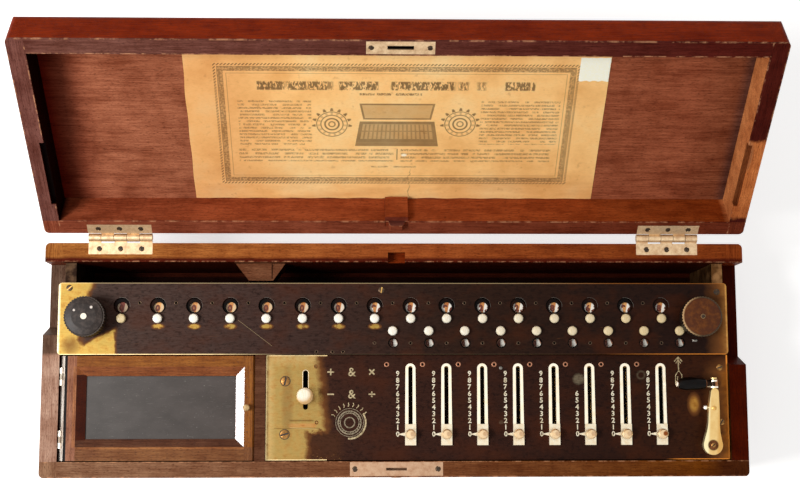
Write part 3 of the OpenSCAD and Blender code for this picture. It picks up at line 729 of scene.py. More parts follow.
@dataclass(frozen=True)
class CarriageLacquer(LacqueredBrass):
    """The carriage's plate: bare at both ends, a crescent rubbed in front of seven left buttons."""

    name: str = "carriage_bronzed_brass"

    def coat(self, p: Pattern) -> Input:
        """Brown at the left, greyed there by a painted sheen, nearly black at the right, black in
        the countersinks.

        Args:
            p: The material's pattern.

        Returns:
            The colour by place.
        """
        run = p.run(-282, 562)
        # painted sheen: the greyer tone at the left
        tone = p.ramp(run, (0.0, "#4d3c35"), (0.3, "#412e28"), (0.6, "#2b1910"), (1.0, "#200f09"))
        below = p.below(p.z, CARRIAGE_Z - 0.08, 0.03) & p.step(p.z, 0.74, 0.02)
        return p.mix(below & p.between(p.y, 104, 158), tone, "#070302")

    def metal(self, p: Pattern) -> Input:
        """Pale brass at the left end, with a painted highlight on its left edge, browned at the
        right.

        Args:
            p: The material's pattern.

        Returns:
            The colour by place.
        """
        run = p.run(-282, 562)
        # painted highlight: near white along the left edge
        pale = p.mix(p.below(p.x, -280.6, 0.8), "#ad8e48", "#f4e6bc")
        return p.mix(p.step(run, 0.85, 0.1), pale, p.mix(p.step(p.x, 276, 3), "#8c551c", "#c08a48"))

    def bare(self, p: Pattern) -> Input:
        """The left end with both its corners, a narrow right edge, and the crescents.

        Args:
            p: The material's pattern.

        Returns:
            The mask.
        """
        shift = self.ragged(p, 9, 9, 41)
        x = p.x + shift
        lean = abs(p.y - 128) * 0.42
        left = p.below(x - lean, -267, 4)
        slope = p.y - (x + 263) * 0.55
        patch = p.between(x, -264, -234, 2.5) & p.below(slope, 108, 2)
        smudge = p.spot((-271, 109), (9, 9), 1.0) * 0.42
        left = p.without(left | patch, smudge)
        glow = p.step(x, 267, 9) * 0.6
        right = glow | p.step(p.x, 277.2, 1.0) * 0.8
        cell = p.cell(slot_x(-8))
        crescent = p.spot((0.2, 124.9), (4.8, 2.2), 0.85, x=cell) & p.between(p.x, -215, 2, 0.5)
        broken = p.level(p.step(p.noise(2.6, detail=4, seed=47), 0.42, 0.12), 0.45, 1.0)
        return left | right | crescent & broken

    def edge(self, p: Pattern) -> Input:
        """Painted highlights along the front edge towards both ends and faintly along the rear
        edge, and the engraved scratch.

        Args:
            p: The material's pattern.

        Returns:
            The mask.
        """
        ends = p.step(abs(p.x - 40), 165, 30)
        front = p.below(p.y, 102.0, 0.1) & p.level(ends, 0.04, 1.0)
        rear = p.step(p.y, 160.9, 0.1) * 0.3
        along = (p.x - -132.5) * 0.759 + p.y
        scratch = p.between(along, 130.15, 130.5, 0.08) & p.between(p.x, -132.5, -103.9)
        return front | rear | scratch * 0.25


@dataclass(frozen=True)
class FixedLacquer(LacqueredBrass):
    """The fixed plate: bare round the selector, browned at the right and under the handle."""

    name: str = "plate_bronzed_brass"

    def coat(self, p: Pattern) -> Input:
        """Brown near the selector, nearly black to the right, with three greyed smudges.

        Args:
            p: The material's pattern.

        Returns:
            The colour by place.
        """
        run = p.run(-109, 389)
        tone = p.ramp(run, (0.1, "#3c2218"), (0.4, "#341c14"), (0.75, "#2a140b"), (1.0, "#3a1c0a"))
        grey = p.spot((153.6, 81.1), (4.6, 4.4), 0.5) * 0.75
        ring_mark = p.without(p.spot((206.6, 84.4), (3.7, 3.7), 0.4),
                              p.spot((206.6, 84.4), (2.5, 2.5), 0.4))
        faint = ring_mark * 0.4 | p.spot((88, 45), (2.0, 1.6), 0.6) * 0.4
        return p.mix(grey | faint, tone, "#7c705a")

    def metal(self, p: Pattern) -> Input:
        """Yellow brass at the left, stained behind the selector's screws, a groove drawn with
        painted shade along its edges, brown at the right.

        Args:
            p: The material's pattern.

        Returns:
            The colour by place.
        """
        handled = p.spot((-91, 60), (4.5, 30), 0.7)
        left = p.mix(handled * 0.45, "#a98c50", "#7a5a34")
        pale = p.below(p.x, -103.5, 3) | p.step(p.y, 95, 4)
        left = p.mix(pale * 0.35, left, "#e0c084")
        # the groove drawn in colour: dark lines of painted shade at its edges and a copper floor
        marks = p.between(p.y, 46.2, 47.4, 0.5) & p.between(p.x, -89, -69, 1)
        line = p.between(p.y, 40.2, 40.7, 0.2) & p.between(p.x, -102, -65)
        left = p.mix((marks | line) * 0.6, left, "#4e3416")
        copper = p.between(p.y, 41.2, 44.4, 0.5) & p.between(p.x, -89, -67, 1.5)
        left = p.mix(copper * 0.45, left, "#c88a54")
        golden = p.mix(p.spot((251.3, 60), (7, 11), 0.7), "#9c5c1e", "#b8883e")
        return p.mix(p.step(p.x, 150, 20), left, golden)

    def bare(self, p: Pattern) -> Input:
        """The left part, the dark foot in front of it, the right edge and the bright spot under the
        handle.

        Args:
            p: The material's pattern.

        Returns:
            The mask.
        """
        x = p.x + self.ragged(p, 7, 9, 51)
        reach = x + (p.y - 60) * 0.1
        foot_y = p.y + self.ragged(p, 5, 14, 55)
        left = p.below(reach, -61, 7) & (p.step(foot_y, 37, 3) | p.below(x, -74, 5))
        foot = p.between(x, -80, -44, 6) & p.below(p.y, 38, 3)
        speck = p.step(p.noise(1.1, detail=3, seed=57), 0.66, 0.04)
        foot = foot & (0.12 | speck & p.level(p.below(p.y, 20, 4), 0.2, 0.8))
        warm = p.step(x, 269, 12) & p.below(p.y, 94, 8)
        # a bright spot under the handle
        rub = p.spot((251.0, 60), (5.0, 8.4), 0.8) * 0.72
        right = warm * p.level(p.noise(9, detail=5, seed=53), 0.55, 1.0)
        return left | foot | (right | rub)

    def edge(self, p: Pattern) -> Input:
        """Painted highlights on the left edge, the ends of the rear and front edges, the right edge
        and the lower edge of the groove.

        Args:
            p: The material's pattern.

        Returns:
            The mask.
        """
        left = (p.below(p.x, -108.2, 0.1) | p.below(p.x, -58)
                & (p.step(p.y, 100.5, 0.1) | p.below(p.y, 14.7, 0.1)))
        right = p.step(p.x, 279.0, 0.4) | p.step(p.x, 232, 6) & p.below(p.y, 14.8, 0.1)
        groove = p.y - (p.x + 98.8) * -0.05
        # painted highlight along the groove's lower edge
        lit = p.between(groove, 41.2, 41.6) & p.between(p.x, -89, -66)
        return left | right | lit * 0.3


@dataclass(frozen=True)
class Ivory(Finish):
    """Turned ivory: a warm white with faint lines, its collar below the plate in brass."""

    name: str = "turned_ivory"
    foot_z: float = -3.72

    def paint(self, p: Pattern) -> None:
        """Faint lines of growth in the ivory, a painted shade towards the knob's edge, brass below
        the foot.

        Args:
            p: The material's pattern.
        """
        lines = p.noise(1.1, (1, 5, 1), 4, 0.6, 61)
        ivory = p.ramp(lines, (0.35, "#fbecca"), (0.65, "#fffae8"))
        # painted shade: tan towards the knob's rounded edge
        rim = ~p.spot((-77.6, 68.6), (5.4, 5.4), 0.6)
        ivory = p.tint(rim * 0.9, ivory, "#cda266")
        metal = p.below(p.z, self.foot_z, 0.02)
        p.finish(p.mix(metal, ivory, "#b98a3c"), p.level(lines, 0.24, 0.36), p.relief(lines, 0.01),
                 metallic=metal, specular_ior_level=0.5)


@dataclass(frozen=True)
class DialFinish(Finish):
    """A dial: ivory button, enamelled number disc, steel spindle and brass crown gear.

    The disc carries a warm ground behind each figure, with a white segment between two figures, a
    painted highlight for the window's lit wall.
    """

    name: str
    offset: float
    axis_y: float
    side: float
    top_z: float
    ground: tuple[str, str]
    white: Plan

    def paint(self, p: Pattern) -> None:
        """Each part by its height on the spindle, and the disc by the angle round it.

        Args:
            p: The material's pattern.
        """
        ivory = p.ramp(p.noise(1.0, (1, 4, 1), 4, 0.6, 61), (0.35, "#f8f0d8"), (0.65, "#fffdf6"))
        ivory = p.tint(p.step(p.x, 90, 110) | p.below(p.x, -214), ivory, "#e4d0a8")
        aged = p.noise(3.0, detail=4, seed=67)
        each = p.noise(70, seed=69)
        enamel = p.ramp(aged * 0.5 + each * 0.5, (0.4, self.ground[0]), (0.6, self.ground[1]))
        shift = (self.offset + PITCH / 2) % PITCH - PITCH / 2
        across = p.cell(shift)
        along = (p.y - self.axis_y) * self.side
        turn = across.math("ARCTAN2", along) * (180 / math.pi)
        cell = turn.math("WRAP", 30.0, -6.0)
        enamel = p.tint(p.below(p.x, slot_x(-7.5)), enamel, "#a86048")
        # painted highlight: a white segment of the disc under the window's lit wall
        right = p.step(p.x, -60, 50)
        segment = p.between(cell, *self.white, 1.5) * p.level(right, 0.6, 1.0)
        enamel = p.mix(segment, enamel, p.mix(right, "#ecd8b0", "#fff8ea"))
        head = p.step(p.z, 4.42, 0.02)
        disc = p.between(p.z, self.top_z - 1.15, self.top_z + 0.01, 0.005)
        hub = p.below(across * across + along * along, 4.05, 0.03)
        metal = p.without(1.0, head | p.without(disc, hub))
        colour = p.mix(head, p.mix(metal, enamel, "#a9823e"), ivory)
        p.finish(colour, p.level(aged, 0.26, 0.42), p.relief(aged, 0.01), metallic=metal)


@dataclass(frozen=True)
class SliderFinish(Metal):
    """A slider: nickel silver cursor over a brass fork and pinion."""

    name: str = "cursor_nickel_silver"
    colour: str = "#f2e6cc"
    tarnish: str = "#c9a878"
    amount: float = 0.5
    rough: float = 0.26
    patch: float = 3.0

    def zones(self, p: Pattern, colour: Input) -> Input:
        """Brass below the plate, a gilt knob with brown on the right of its crown: worn brown on
        the last slider, a faint painted shade on the others.

        Args:
            p: The material's pattern.
            colour: The metal's own colour.

        Returns:
            The colour by place.
        """
        below = p.below(p.z, -8.3)
        top = p.step(p.z, 1.5)
        gilt = p.mix(top * 0.5, p.mix(below, colour, "#b08640"), "#e2b06c")
        cell = p.cell(FIRST_SLOT)
        # brown on the right of the crown: wear on the last slider, painted shade on the others
        worn = top & p.spot((1.6, 35.6), (1.9, 2.0), 0.4, x=cell)
        worn = worn * p.level(p.step(p.x, 208, 2), 0.35, 1.0)
        return p.mix(worn, gilt, "#8a4a22")


@dataclass(frozen=True)
class Slate(Finish):
    """Writing slate: a matt grey with chalk wiped into its scratches and light specks."""

    name: str = "writing_slate"

    def paint(self, p: Pattern) -> None:
        """Cloudy grey with wiped chalk, specks and scratches.

        Args:
            p: The material's pattern.
        """
        cloud = p.noise(16, (1.6, 1, 1), 5, 0.6, 71)
        grain = p.noise(0.5, detail=3, seed=73)
        scratch = p.step(p.noise(0.7, (9, 1, 1), 3, 0.6, 75, 0.8), 0.68, 0.05) * 0.35
        speck = p.step(p.noise(0.9, (1.6, 1, 1), 2, 0.5, 79), 0.73, 0.03)
        run = p.run(-258, 124)
        colour = p.ramp(cloud, (0.3, "#4e4a47"), (0.7, "#5c5754"))
        colour = p.tint(p.step(run, 0.5, 0.5), colour, "#e4dad6")
        colour = p.mix((scratch | speck) * 0.45, colour, "#a8a29a")
        p.finish(colour, p.level(grain, 0.6, 0.85), p.relief(grain, 0.03), specular_ior_level=0.2)


@dataclass(frozen=True)
class Ebony(Finish):
    """Ebonised wood: near black with a soft gloss, browned where the hand has rubbed it."""

    name: str = "ebonised_wood"
    colour: str = "#070403"
    rubbed: str = "#160b06"
    rough: float = 0.2

    def paint(self, p: Pattern) -> None:
        """Fine grain and rubbed patches.

        Args:
            p: The material's pattern.
        """
        grain = p.noise(0.6, (10, 1, 1), 3, 0.6, 81)
        rub = p.step(p.noise(6, detail=4, seed=83), 0.55, 0.1)
        p.finish(p.mix(rub * 0.6, self.colour, self.rubbed),
                 p.level(grain, self.rough, self.rough + 0.2), p.relief(grain, 0.02),
                 specular_ior_level=0.1)


@dataclass(frozen=True)
class YokeMetal(Metal):
    """The crank's steel yoke: blackened, with painted highlights on its corners and a copper brown
    cap.
    """

    name: str = "blackened_steel_yoke"
    colour: str = "#2a1d16"
    tarnish: str = "#0c0705"
    amount: float = 0.7
    rough: float = 0.24
    patch: float = 2.0

    def zones(self, p: Pattern, colour: Input) -> Input:
        """Brown at the right of the cap, and painted highlights along its front and rear corners
        and on the steel at the spindle's end.

        Args:
            p: The material's pattern.
            colour: The metal's own colour.

        Returns:
            The colour by place.
        """
        brown = p.step(p.x, 265.0, 0.6) & p.step(p.z, 9.0, 0.3)
        colour = p.mix(brown, colour, "#9a6440")
        front = p.below(p.y, 74.4, 0.3) & p.step(p.z, 10.5, 0.4)
        rear = (p.between(p.y, 78.4, 79.6, 0.3)
                & (p.between(p.x, 262.2, 266.5) & p.step(p.z, 12, 0.2)))
        # painted highlights: near white corners and spindle end
        return p.mix(front | rear | p.below(p.x, 236), colour, "#fff4e0")


@dataclass(frozen=True)
class ArmBrass(Metal):
    """The crank's arm: polished brass, paler along its left edge as a painted highlight, browned
    round the hub.
    """

    name: str = "crank_arm_brass"
    colour: str = "#e8c583"
    tarnish: str = "#c79c58"
    amount: float = 0.4
    rough: float = 0.3
    brush: Place = (1, 10, 1)
    patch: float = 7.0

    def zones(self, p: Pattern, colour: Input) -> Input:
        """A painted highlight on the left edge, painted shade on the orange right edge, brown ring
        and shaft, a white metal ball.

        Args:
            p: The material's pattern.
            colour: The metal's own colour.

        Returns:
            The colour by place.
        """
        lean = p.x - (p.y - 26) * 0.06
        # painted highlight on the left edge and painted shade on the right edge
        colour = p.mix(p.below(lean, 258.4, 1.0) * 0.8, colour, "#fbf0c0")
        colour = p.mix(p.step(lean, 265.6, 1.2) * 0.6, colour, "#c98f3e")
        hub = p.spot((CRANK[0], CRANK[1]), (4.4, 4.4), 0.25)
        colour = p.mix(hub, colour, "#6a4526")
        ball = p.below(p.x, 259.2) & (p.between(p.y, 54.8, 59.2) & p.below(p.z, 12.6))
        return p.mix(ball, colour, "#fff8ee")


@dataclass(frozen=True)
class KnobEnamel(Finish):
    """A fluted brass knob japanned black or brown, with a rim colour that can be a painted
    highlight on the left flutes.
    """

    name: str
    centre_x: float
    top: str
    wear: str
    rim: str
    dot: str
    dot_metal: float
    rim_far: float
    shine: tuple[tuple[float, float, float], ...] = ()

    def paint(self, p: Pattern) -> None:
        """Top face with scuffs and painted glints, a rim with a painted highlight at its left, a
        side in painted shade, dot in the middle.

        Args:
            p: The material's pattern.
        """
        scuff = p.noise(4.5, detail=6, rough=0.65, seed=91)
        face = p.step(p.z, 21.6, 0.4)
        dot = p.step(p.z, 23.24, 0.02)
        neck = p.below(p.z, 9.4)
        ring = ~p.spot((self.centre_x, ZERO_KNOB_Y), (15.6, 15.6), 0.05)
        colour = p.mix(p.step(scuff, 0.56, 0.1) * 0.7, self.top, self.wear)
        # painted shade: the knob's side darker than its top
        colour = p.mix(~face, colour, "#1a100b")
        # painted highlight: the rim's colour full at the left and the share rim_far at the right
        lit = p.level(p.below(p.x, self.centre_x - 7, 6), self.rim_far, 1.0)
        colour = p.mix(ring & p.step(p.z, 20.4, 0.4) & lit, colour, self.rim)
        # painted highlights: small glints on the top face
        for x, y, r in self.shine:
            colour = p.mix(p.spot((self.centre_x + x, ZERO_KNOB_Y + y), (r, r), 0.5), colour,
                           "#e6d8cc")
        colour = p.mix(neck, p.mix(dot, colour, self.dot), "#8a6530")
        metal = neck | dot * self.dot_metal
        p.finish(colour, p.level(scuff, 0.3, 0.55), p.relief(scuff, 0.03), metallic=metal,
                 specular_ior_level=0.2)


@dataclass(frozen=True)
class Paint(Finish):
    """Wax or enamel filled into engraving, or printed ink, slightly uneven."""

    name: str
    colour: str
    faded: str
    rough: float = 0.5

    def paint(self, p: Pattern) -> None:
        """Uneven filling."""
        wear = p.noise(1.6, detail=4, seed=101)
        p.finish(p.mix(p.step(wear, 0.55, 0.15), self.colour, self.faded),
                 p.level(wear, self.rough, self.rough + 0.25), p.relief(wear, 0.01))


@dataclass(frozen=True)
class PrintedSheet(Finish):
    """An old instruction sheet: browned paper with an ornamental border and unreadable print."""

    name: str = "browned_printed_paper"
    closed_lid = True

    def frame_line(self, p: Pattern, low: Plan, high: Plan, width: float) -> Input:
        """Mask of a thin rectangle.

        Args:
            p: The material's pattern.
            low: Its lower corner.
            high: Its upper corner.
            width: The width of its line.

        Returns:
            The mask.
        """
        outer = p.between(p.x, low[0], high[0], 0.15) & p.between(p.y, low[1], high[1], 0.15)
        inner = (p.between(p.x, low[0] + width, high[0] - width, 0.15)
                 & p.between(p.y, low[1] + width, high[1] - width, 0.15))
        return p.without(outer, inner)

    def lines(self, p: Pattern, area: Area, first: float, pitch: float,
              word: float, weight: float) -> Input:
        """Rows of broken marks that stand for print, with no letters in them.

        Args:
            p: The material's pattern.
            area: Left, right, rear and front edges.
            first: Where the first row starts.
            pitch: The distance of the rows.
            word: The length of a word.
            weight: The height of a row, as a share of the pitch.

        Returns:
            The mask.
        """
        x0, x1, y0, y1 = area
        count = (p.y - first) / pitch
        row = count.math("FLOOR")
        within = p.between(count.math("FRACT"), 0.05, 0.05 + weight, 0.06)
        across = p.node("CombineXYZ", {0: p.x / word, 1: row * 7.31, 2: 0.5})
        words = p.node("TexNoise", {"Vector": across, "Scale": 1.0, "Detail": 0.0})
        strokes = p.node("CombineXYZ",
                         {0: p.x / (word * 0.13), 1: p.y / (pitch * weight * 0.45), 2: 2.5})
        marks = p.node("TexNoise", {"Vector": strokes, "Scale": 1.0, "Detail": 2.0,
                                    "Distortion": 0.6})
        block = p.between(p.x, x0, x1, 0.4) & p.between(p.y, y0, y1, 0.3)
        ink = p.step(words, 0.36, 0.03) & p.step(marks, 0.46, 0.05)
        return block & (within & ink)

    def paint(self, p: Pattern) -> None:
        """Paper, stains, cracks, border, heading and text blocks.

        Args:
            p: The material's pattern.
        """
        fibre = p.noise(1.4, (2, 1, 1), 5, 0.6, 111)
        stain = p.noise(46, detail=5, rough=0.6, seed=113)
        paper = p.ramp(stain, (0.3, "#eeb068"), (0.5, "#ffc880"), (0.72, "#ffd898"))
        paper = p.mix(p.step(fibre, 0.6, 0.1) * 0.2, paper, "#d09a5a")
        fox = p.step(p.noise(5.5, detail=3, seed=115), 0.7, 0.05)
        paper = p.mix(fox * 0.3, paper, "#b07038")
        foot = p.step(p.y, 152, 12) & p.step(p.noise(60, (2, 0.4, 1), 3, 0.6, 119), 0.5, 0.1)
        paper = p.mix(foot * 0.4, paper, "#c88244")
        band = p.without(self.box(p, (-143.4, 45, 140.6, 162.6)),
                         self.box(p, (-138.8, 49.6, 136, 158)))
        paper = p.tint(band * 0.5, paper, "#b0aeae")
        paper = p.tint(p.below(p.x, -110, 30), paper, "#eee2de")
        wander = p.x + p.noise(7, detail=4, seed=123) * 9
        crack = p.between(wander, 15.0, 15.5, 0.15) & p.step(p.y, 150, 2)
        paper = p.mix(crack * 0.6, paper, "#7a4a24")
        colour = p.mix(self.ink(p) * 0.88, paper, "#3c2c1c")
        tear = p.spot((5.8, 134), (2.2, 1.4), 0.6)
        p.finish(p.mix(tear, colour, "#fff0d0"), 0.8, p.relief(fibre, 0.03), specular_ior_level=0.1)

    def box(self, p: Pattern, area: Area, soft: float = 0.2) -> Input:
        """Mask of a plain rectangle, from its left, rear, right and front edges."""
        return p.between(p.x, area[0], area[2], soft) & p.between(p.y, area[1], area[3], soft)

    def wave(self, p: Pattern, value: Value, rate: float, edge: float = 0.0,
             soft: float = 0.3) -> Input:
        """A row of even stripes."""
        return p.step((value * rate).math("SINE"), edge, soft)

    def ink(self, p: Pattern) -> Input:
        """Mask of the print: chain border, heading, text blocks, rosettes, a rule and a picture.

        Args:
            p: The material's pattern.

        Returns:
            The mask.
        """
        rising = p.x + p.y
        border = ((self.frame_line(p, (-143.6, 44.8), (140.8, 162.8), 0.5)
                   | self.frame_line(p, (-136.6, 51.4), (134, 156.4), 0.5)) * 0.6)
        teeth = (self.frame_line(p, (-146.4, 42.2), (143.4, 165.2), 1.9)
                 & self.wave(p, rising, 2.2, 0.1, 0.3))
        links = (self.frame_line(p, (-143.4, 45), (140.6, 162.6), 4.6)
                 & p.step(p.noise(1.5, detail=2, seed=127), 0.48, 0.06))
        border = border | (teeth | links * 0.6)
        text = self.lines(p, (-112.6, 109.2, 58.9, 67.9), 58.9, 9.4, 11.0, 0.9)
        text = text | self.lines(p, (-31, 19, 70.4, 73.4), 70.4, 3.2, 4.0, 0.7)
        for area, pitch in (((-129, -70, 78, 124.5), 3.35), ((67, 131, 78, 122.5), 3.35),
                            ((-130.5, -3, 127.5, 141), 3.9), ((3, 127.3, 127.5, 141), 3.9),
                            ((-22, 16, 145.6, 147.4), 3.0)):
            text = text | self.lines(p, area, area[2], pitch, 5.0, 0.56) * 0.7
        text = text | p.between(p.x, -0.4, 0.4) & p.between(p.y, 127.5, 139)
        for centre in ((-53.5, 102), (50.8, 101.4)):
            text = text | self.rosette(p, centre)
        return ((border | text | self.picture(p))
                & p.level(p.noise(9, detail=4, seed=117), 0.72, 1.0))

    def rosette(self, p: Pattern, centre: Plan) -> Input:
        """Mask of a printed wheel of rings with rays over its upper half.

        Args:
            p: The material's pattern.
            centre: Its middle.

        Returns:
            The mask.
        """
        across = p.x - centre[0]
        along = p.y - centre[1]
        radius = (across * across + along * along).math("SQRT")
        turn = along.math("ARCTAN2", across) * 15.0
        narrow = (radius - 13.4) * 0.3
        rays = p.step(turn.math("SINE") - narrow, 0.0, 0.3) & p.between(radius, 13.4, 16.4, 0.2)
        rings = p.between(radius, 12.1, 12.8, 0.2) | p.between(radius, 8.6, 9.4, 0.2)
        core = p.between(radius, 5.0, 6.3, 0.2) | p.between(radius, 2.0, 3.0, 0.3)
        tread = (p.between(radius, 9.4, 12.1) & p.step(turn.math("SINE"), 0.3, 0.4)) * 0.4
        return rays & p.below(along, 3.0, 1.0) | tread | (rings | core)

    def picture(self, p: Pattern) -> Input:
        """Mask of a small engraving of a box with its lid open, in plain outline and hatching.

        Args:
            p: The material's pattern.

        Returns:
            The mask.
        """
        lid_x = p.x / (1.0 + (97 - p.y) * 0.007)
        base_x = p.x / (1.0 + (p.y - 100) * 0.005)
        hatch = self.wave(p, p.y, 5.2, -0.2, 0.4)
        lid = p.between(lid_x, -28, 27) & p.between(p.y, 81, 97)
        lid_in = p.between(lid_x, -26.4, 25.4) & p.between(p.y, 82.6, 95.6)
        base = p.between(base_x, -31, 30) & p.between(p.y, 99, 121)
        keys = p.between(base_x, -28, 27) & p.between(p.y, 102, 117)
        blocks = self.wave(p, base_x, 1.9, 0.4) | p.between(p.y, 108.5, 109.5)
        outline = p.without(lid, lid_in) | p.without(base, keys)
        tone = p.level(hatch, 0.7, 1.0)
        shade = tone & (lid_in * 0.5 | keys * p.level(blocks, 0.66, 0.95))
        edge = p.between(base_x, -31, 30) & p.between(p.y, 121, 124.5)
        return (outline | edge) * 0.9 | shade


@dataclass(frozen=True)
class BlankPaper(Finish):
    """A newer blank label: cream white paper with a faint fibre."""

    name: str = "blank_label_paper"

    def paint(self, p: Pattern) -> None:
        """Fibre in off-white paper."""
        fibre = p.noise(1.0, detail=5, seed=121)
        p.finish(p.ramp(fibre, (0.3, "#fffbdc"), (0.7, "#fffff2")), p.level(fibre, 0.6, 0.8),
                 p.relief(fibre, 0.02))


@dataclass(frozen=True)
class HardwareBrass(Metal):
    """Old hinge and lock brass, dull with handling. The lock plate is greyer, and the slate lid's
    knuckles carry a painted highlight.
    """

    def zones(self, p: Pattern, colour: Input) -> Input:
        """The lock's plate, the inside of the lock, and the slate lid's hinge knuckles painted near
        white as a highlight.

        Args:
            p: The material's pattern.
            colour: The metal's own colour.

        Returns:
            The colour by place.
        """
        width = abs(p.x)
        plate = p.below(width, 40) & p.below(p.y, 13)
        slot = p.below(width, 9.4) & (p.between(p.y, 4.9, 8.6) & p.below(p.z, -0.9, 0.3))
        # painted highlight: the slate lid's hinge knuckles are made near white
        knuckles = p.between(p.x, -282, -277) & p.between(p.y, 20, 95)
        colour = p.mix(knuckles, p.tint(plate, colour, "#d8ccd0"), "#fff4e4")
        return p.mix(slot, colour, "#7c5c46")


@dataclass(frozen=True)
class FrameMetal(Metal):
    """The cast brass bearing frame, with the two waxed iron brackets that carry the rod."""

    name: str = "cast_brass_frame"
    colour: str = "#8a6632"
    tarnish: str = "#4c371c"
    amount: float = 0.8
    rough: float = 0.4

    def zones(self, p: Pattern, colour: Input) -> Input:
        """The left bracket nearly black, the right one a rusty tan, and painted shade deep below
        the plate.

        Args:
            p: The material's pattern.
            colour: The metal's own colour.

        Returns:
            The colour by place.
        """
        block = p.step(abs(p.x), 270.2) & p.step(p.y, 147.5)
        dusty = p.step(p.noise(7, detail=5, seed=131), 0.5, 0.1)
        tone = p.mix(p.step(p.x, 0), p.mix(dusty, "#241812", "#4c3828"),
                     p.mix(dusty, "#5c3c20", "#8e6640"))
        # painted shade: near black deep below the plate
        return p.mix(block, p.mix(p.below(p.z, -8, 0.5), colour, "#1c140d"), tone)


# Filed hinge brass that hands have dulled: pale and warm, with brown patches.
HINGE_BRASS = HardwareBrass("hinge_brass", "#e2c49c", "#a47a56", 0.6, 0.36, (8, 1, 1), 0.3, 5.0)
# Painted shade: black brown and matt, laid in the screw slots and round the selector's screws.
SLOT_SHADE = Paint("painted_slot_shade", "#150d08", "#3a2413")
# Copper left to go brown: small dark glints.
COPPER_BROWN = Metal("browned_copper", "#7a4a2c", "#2e1a10", 0.8, 0.34, (1, 1, 1), 0.3, 1.4)
# Thin gilding over brass: a soft yellow gloss.
GILT = Metal("gilt_fittings", "#e2b468", "#94652c", 0.6, 0.28, (1, 1, 1), 0.3, 2.0)
# Brass cut on a dividing engine: yellow, with fine lines along the teeth.
DRUM_BRASS = Metal("cut_brass", "#a87f3e", "#5e4420", 0.6, 0.38, (1, 8, 1), 0.3, 8.0)
# Drawn nickel silver: nearly white, brushed along the slot.
RAIL_NICKEL = Metal("nickel_silver_rail", "#fff6e0", "#e0c79c", 0.55, 0.32, (1, 14, 1), 0.3, 5.0)
# Ground steel bar: grey, with lines along it.
STEEL = Metal("ground_steel", "#8a847c", "#3e3630", 0.6, 0.34, (12, 1, 1), 0.3, 7.0)
# Copper rings worn by the pegs: salmon, with dark edges.
WORN_COPPER = Metal("worn_copper", "#b07c60", "#5c3424", 0.5, 0.34, (1, 1, 1), 0.3, 1.6)
# Blued steel: brown black, with a dull sheen.
SCREW_STEEL = Metal("blued_screw_steel", "#5a4838", "#1e1510", 0.7, 0.32, (4, 1, 1), 0.3, 2.0)
# Turned brass gone dark: browner than the plate round it.
SCREW_BRASS = Metal("screw_brass", "#a87a44", "#54381c", 0.7, 0.34, (4, 1, 1), 0.3, 2.0)
# White wax in the engraved figures: cream, greyed in places.
FIGURE_WHITE = Paint("figure_filling", "#f8eed4", "#c0ae88")
# The same wax rubbed thin in the signs: a dim cream.
SIGN_CREAM = Paint("sign_filling", "#c8b48a", "#7c6844")
# Wax nearly gone from the roundel's rings: a faint grey brown.
SIGN_DIM = Paint("worn_sign_filling", "#9a8c70", "#54442e")
# Faded ink of the dials' figures: red brown on the enamel.
DIAL_BROWN = Paint("dial_figure_ink", "#541a08", "#74300f")
# Enamelled result discs: amber behind each figure, with a white segment of painted highlight.
RESULT_DIAL = DialFinish("result_dial_ivory_enamel_brass", slot_x(-8), RESULT_Y, 1.0, -0.2,
                         ("#b45e1e", "#e8a860"), (10.5, 27.0))
# Enamelled counter discs: a darker ground, with the same painted highlight segment.
COUNTER_DIAL = DialFinish("counter_dial_ivory_enamel_brass", slot_x(-0.5), COUNTER_Y, -1.0, -2.2,
                          ("#8a4824", "#c07c44"), (4.0, 22.0))


# ---- modelling ----


def clear() -> None:
    """Leaves edit mode and deselects everything."""
    if bpy.context.object is not None and bpy.context.object.mode == "EDIT":
        bpy.ops.object.mode_set(mode="OBJECT")
    bpy.ops.object.select_all(action="DESELECT")


def only(piece: bpy.types.Object) -> None:
    """Makes one object the selected and active one.

    Args:
        piece: The mesh.
    """
    clear()
    piece.select_set(True)
    bpy.context.view_layer.objects.active = piece


def pick(test: Callable[[bmesh.types.BMFace], bool]) -> None:
    """Selects in edit mode the faces of the active mesh that pass a test.

    Args:
        test: Says whether a face is picked.
    """
    bpy.ops.mesh.select_all(action="DESELECT")
    bpy.ops.mesh.select_mode(type="FACE")
    shape = bmesh.from_edit_mesh(bpy.context.object.data)
    shape.faces.ensure_lookup_table()
    for face in shape.faces:
        face.select_set(test(face))
    bmesh.update_edit_mesh(bpy.context.object.data)


def disc(radius: float, height: float, sides: int = 32) -> bpy.types.Object:
    """A short cylinder on z = 0, in millimetres, left in edit mode with its top selected.

    Args:
        radius: Its radius.
        height: Its height.
        sides: The number of its sides.

    Returns:
        The new object.
    """
    clear()
    bpy.ops.mesh.primitive_cylinder_add(vertices=sides, radius=radius, depth=height,
                                        location=(0, 0, height / 2))
    bpy.ops.object.transform_apply(location=True, rotation=False, scale=False)
    bpy.ops.object.mode_set(mode="EDIT")
    pick(lambda face: face.normal.z > 0.9)
    return bpy.context.object


def boss(radius: float, height: float, sides: int, *insets: Plan) -> bpy.types.Object:
    """A short cylinder that stands on z = 0, with insets in its top, left in object mode.

    Args:
        radius: Its radius.
        height: Its height.
        sides: The number of its sides.
        insets: The width and the rise of each inset, from the outside in.

    Returns:
        The new object.
    """
    made = disc(radius, height, sides)
    for thickness, depth in insets:
        bpy.ops.mesh.inset(thickness=thickness, depth=depth)
    bpy.ops.object.mode_set(mode="OBJECT")
    return made


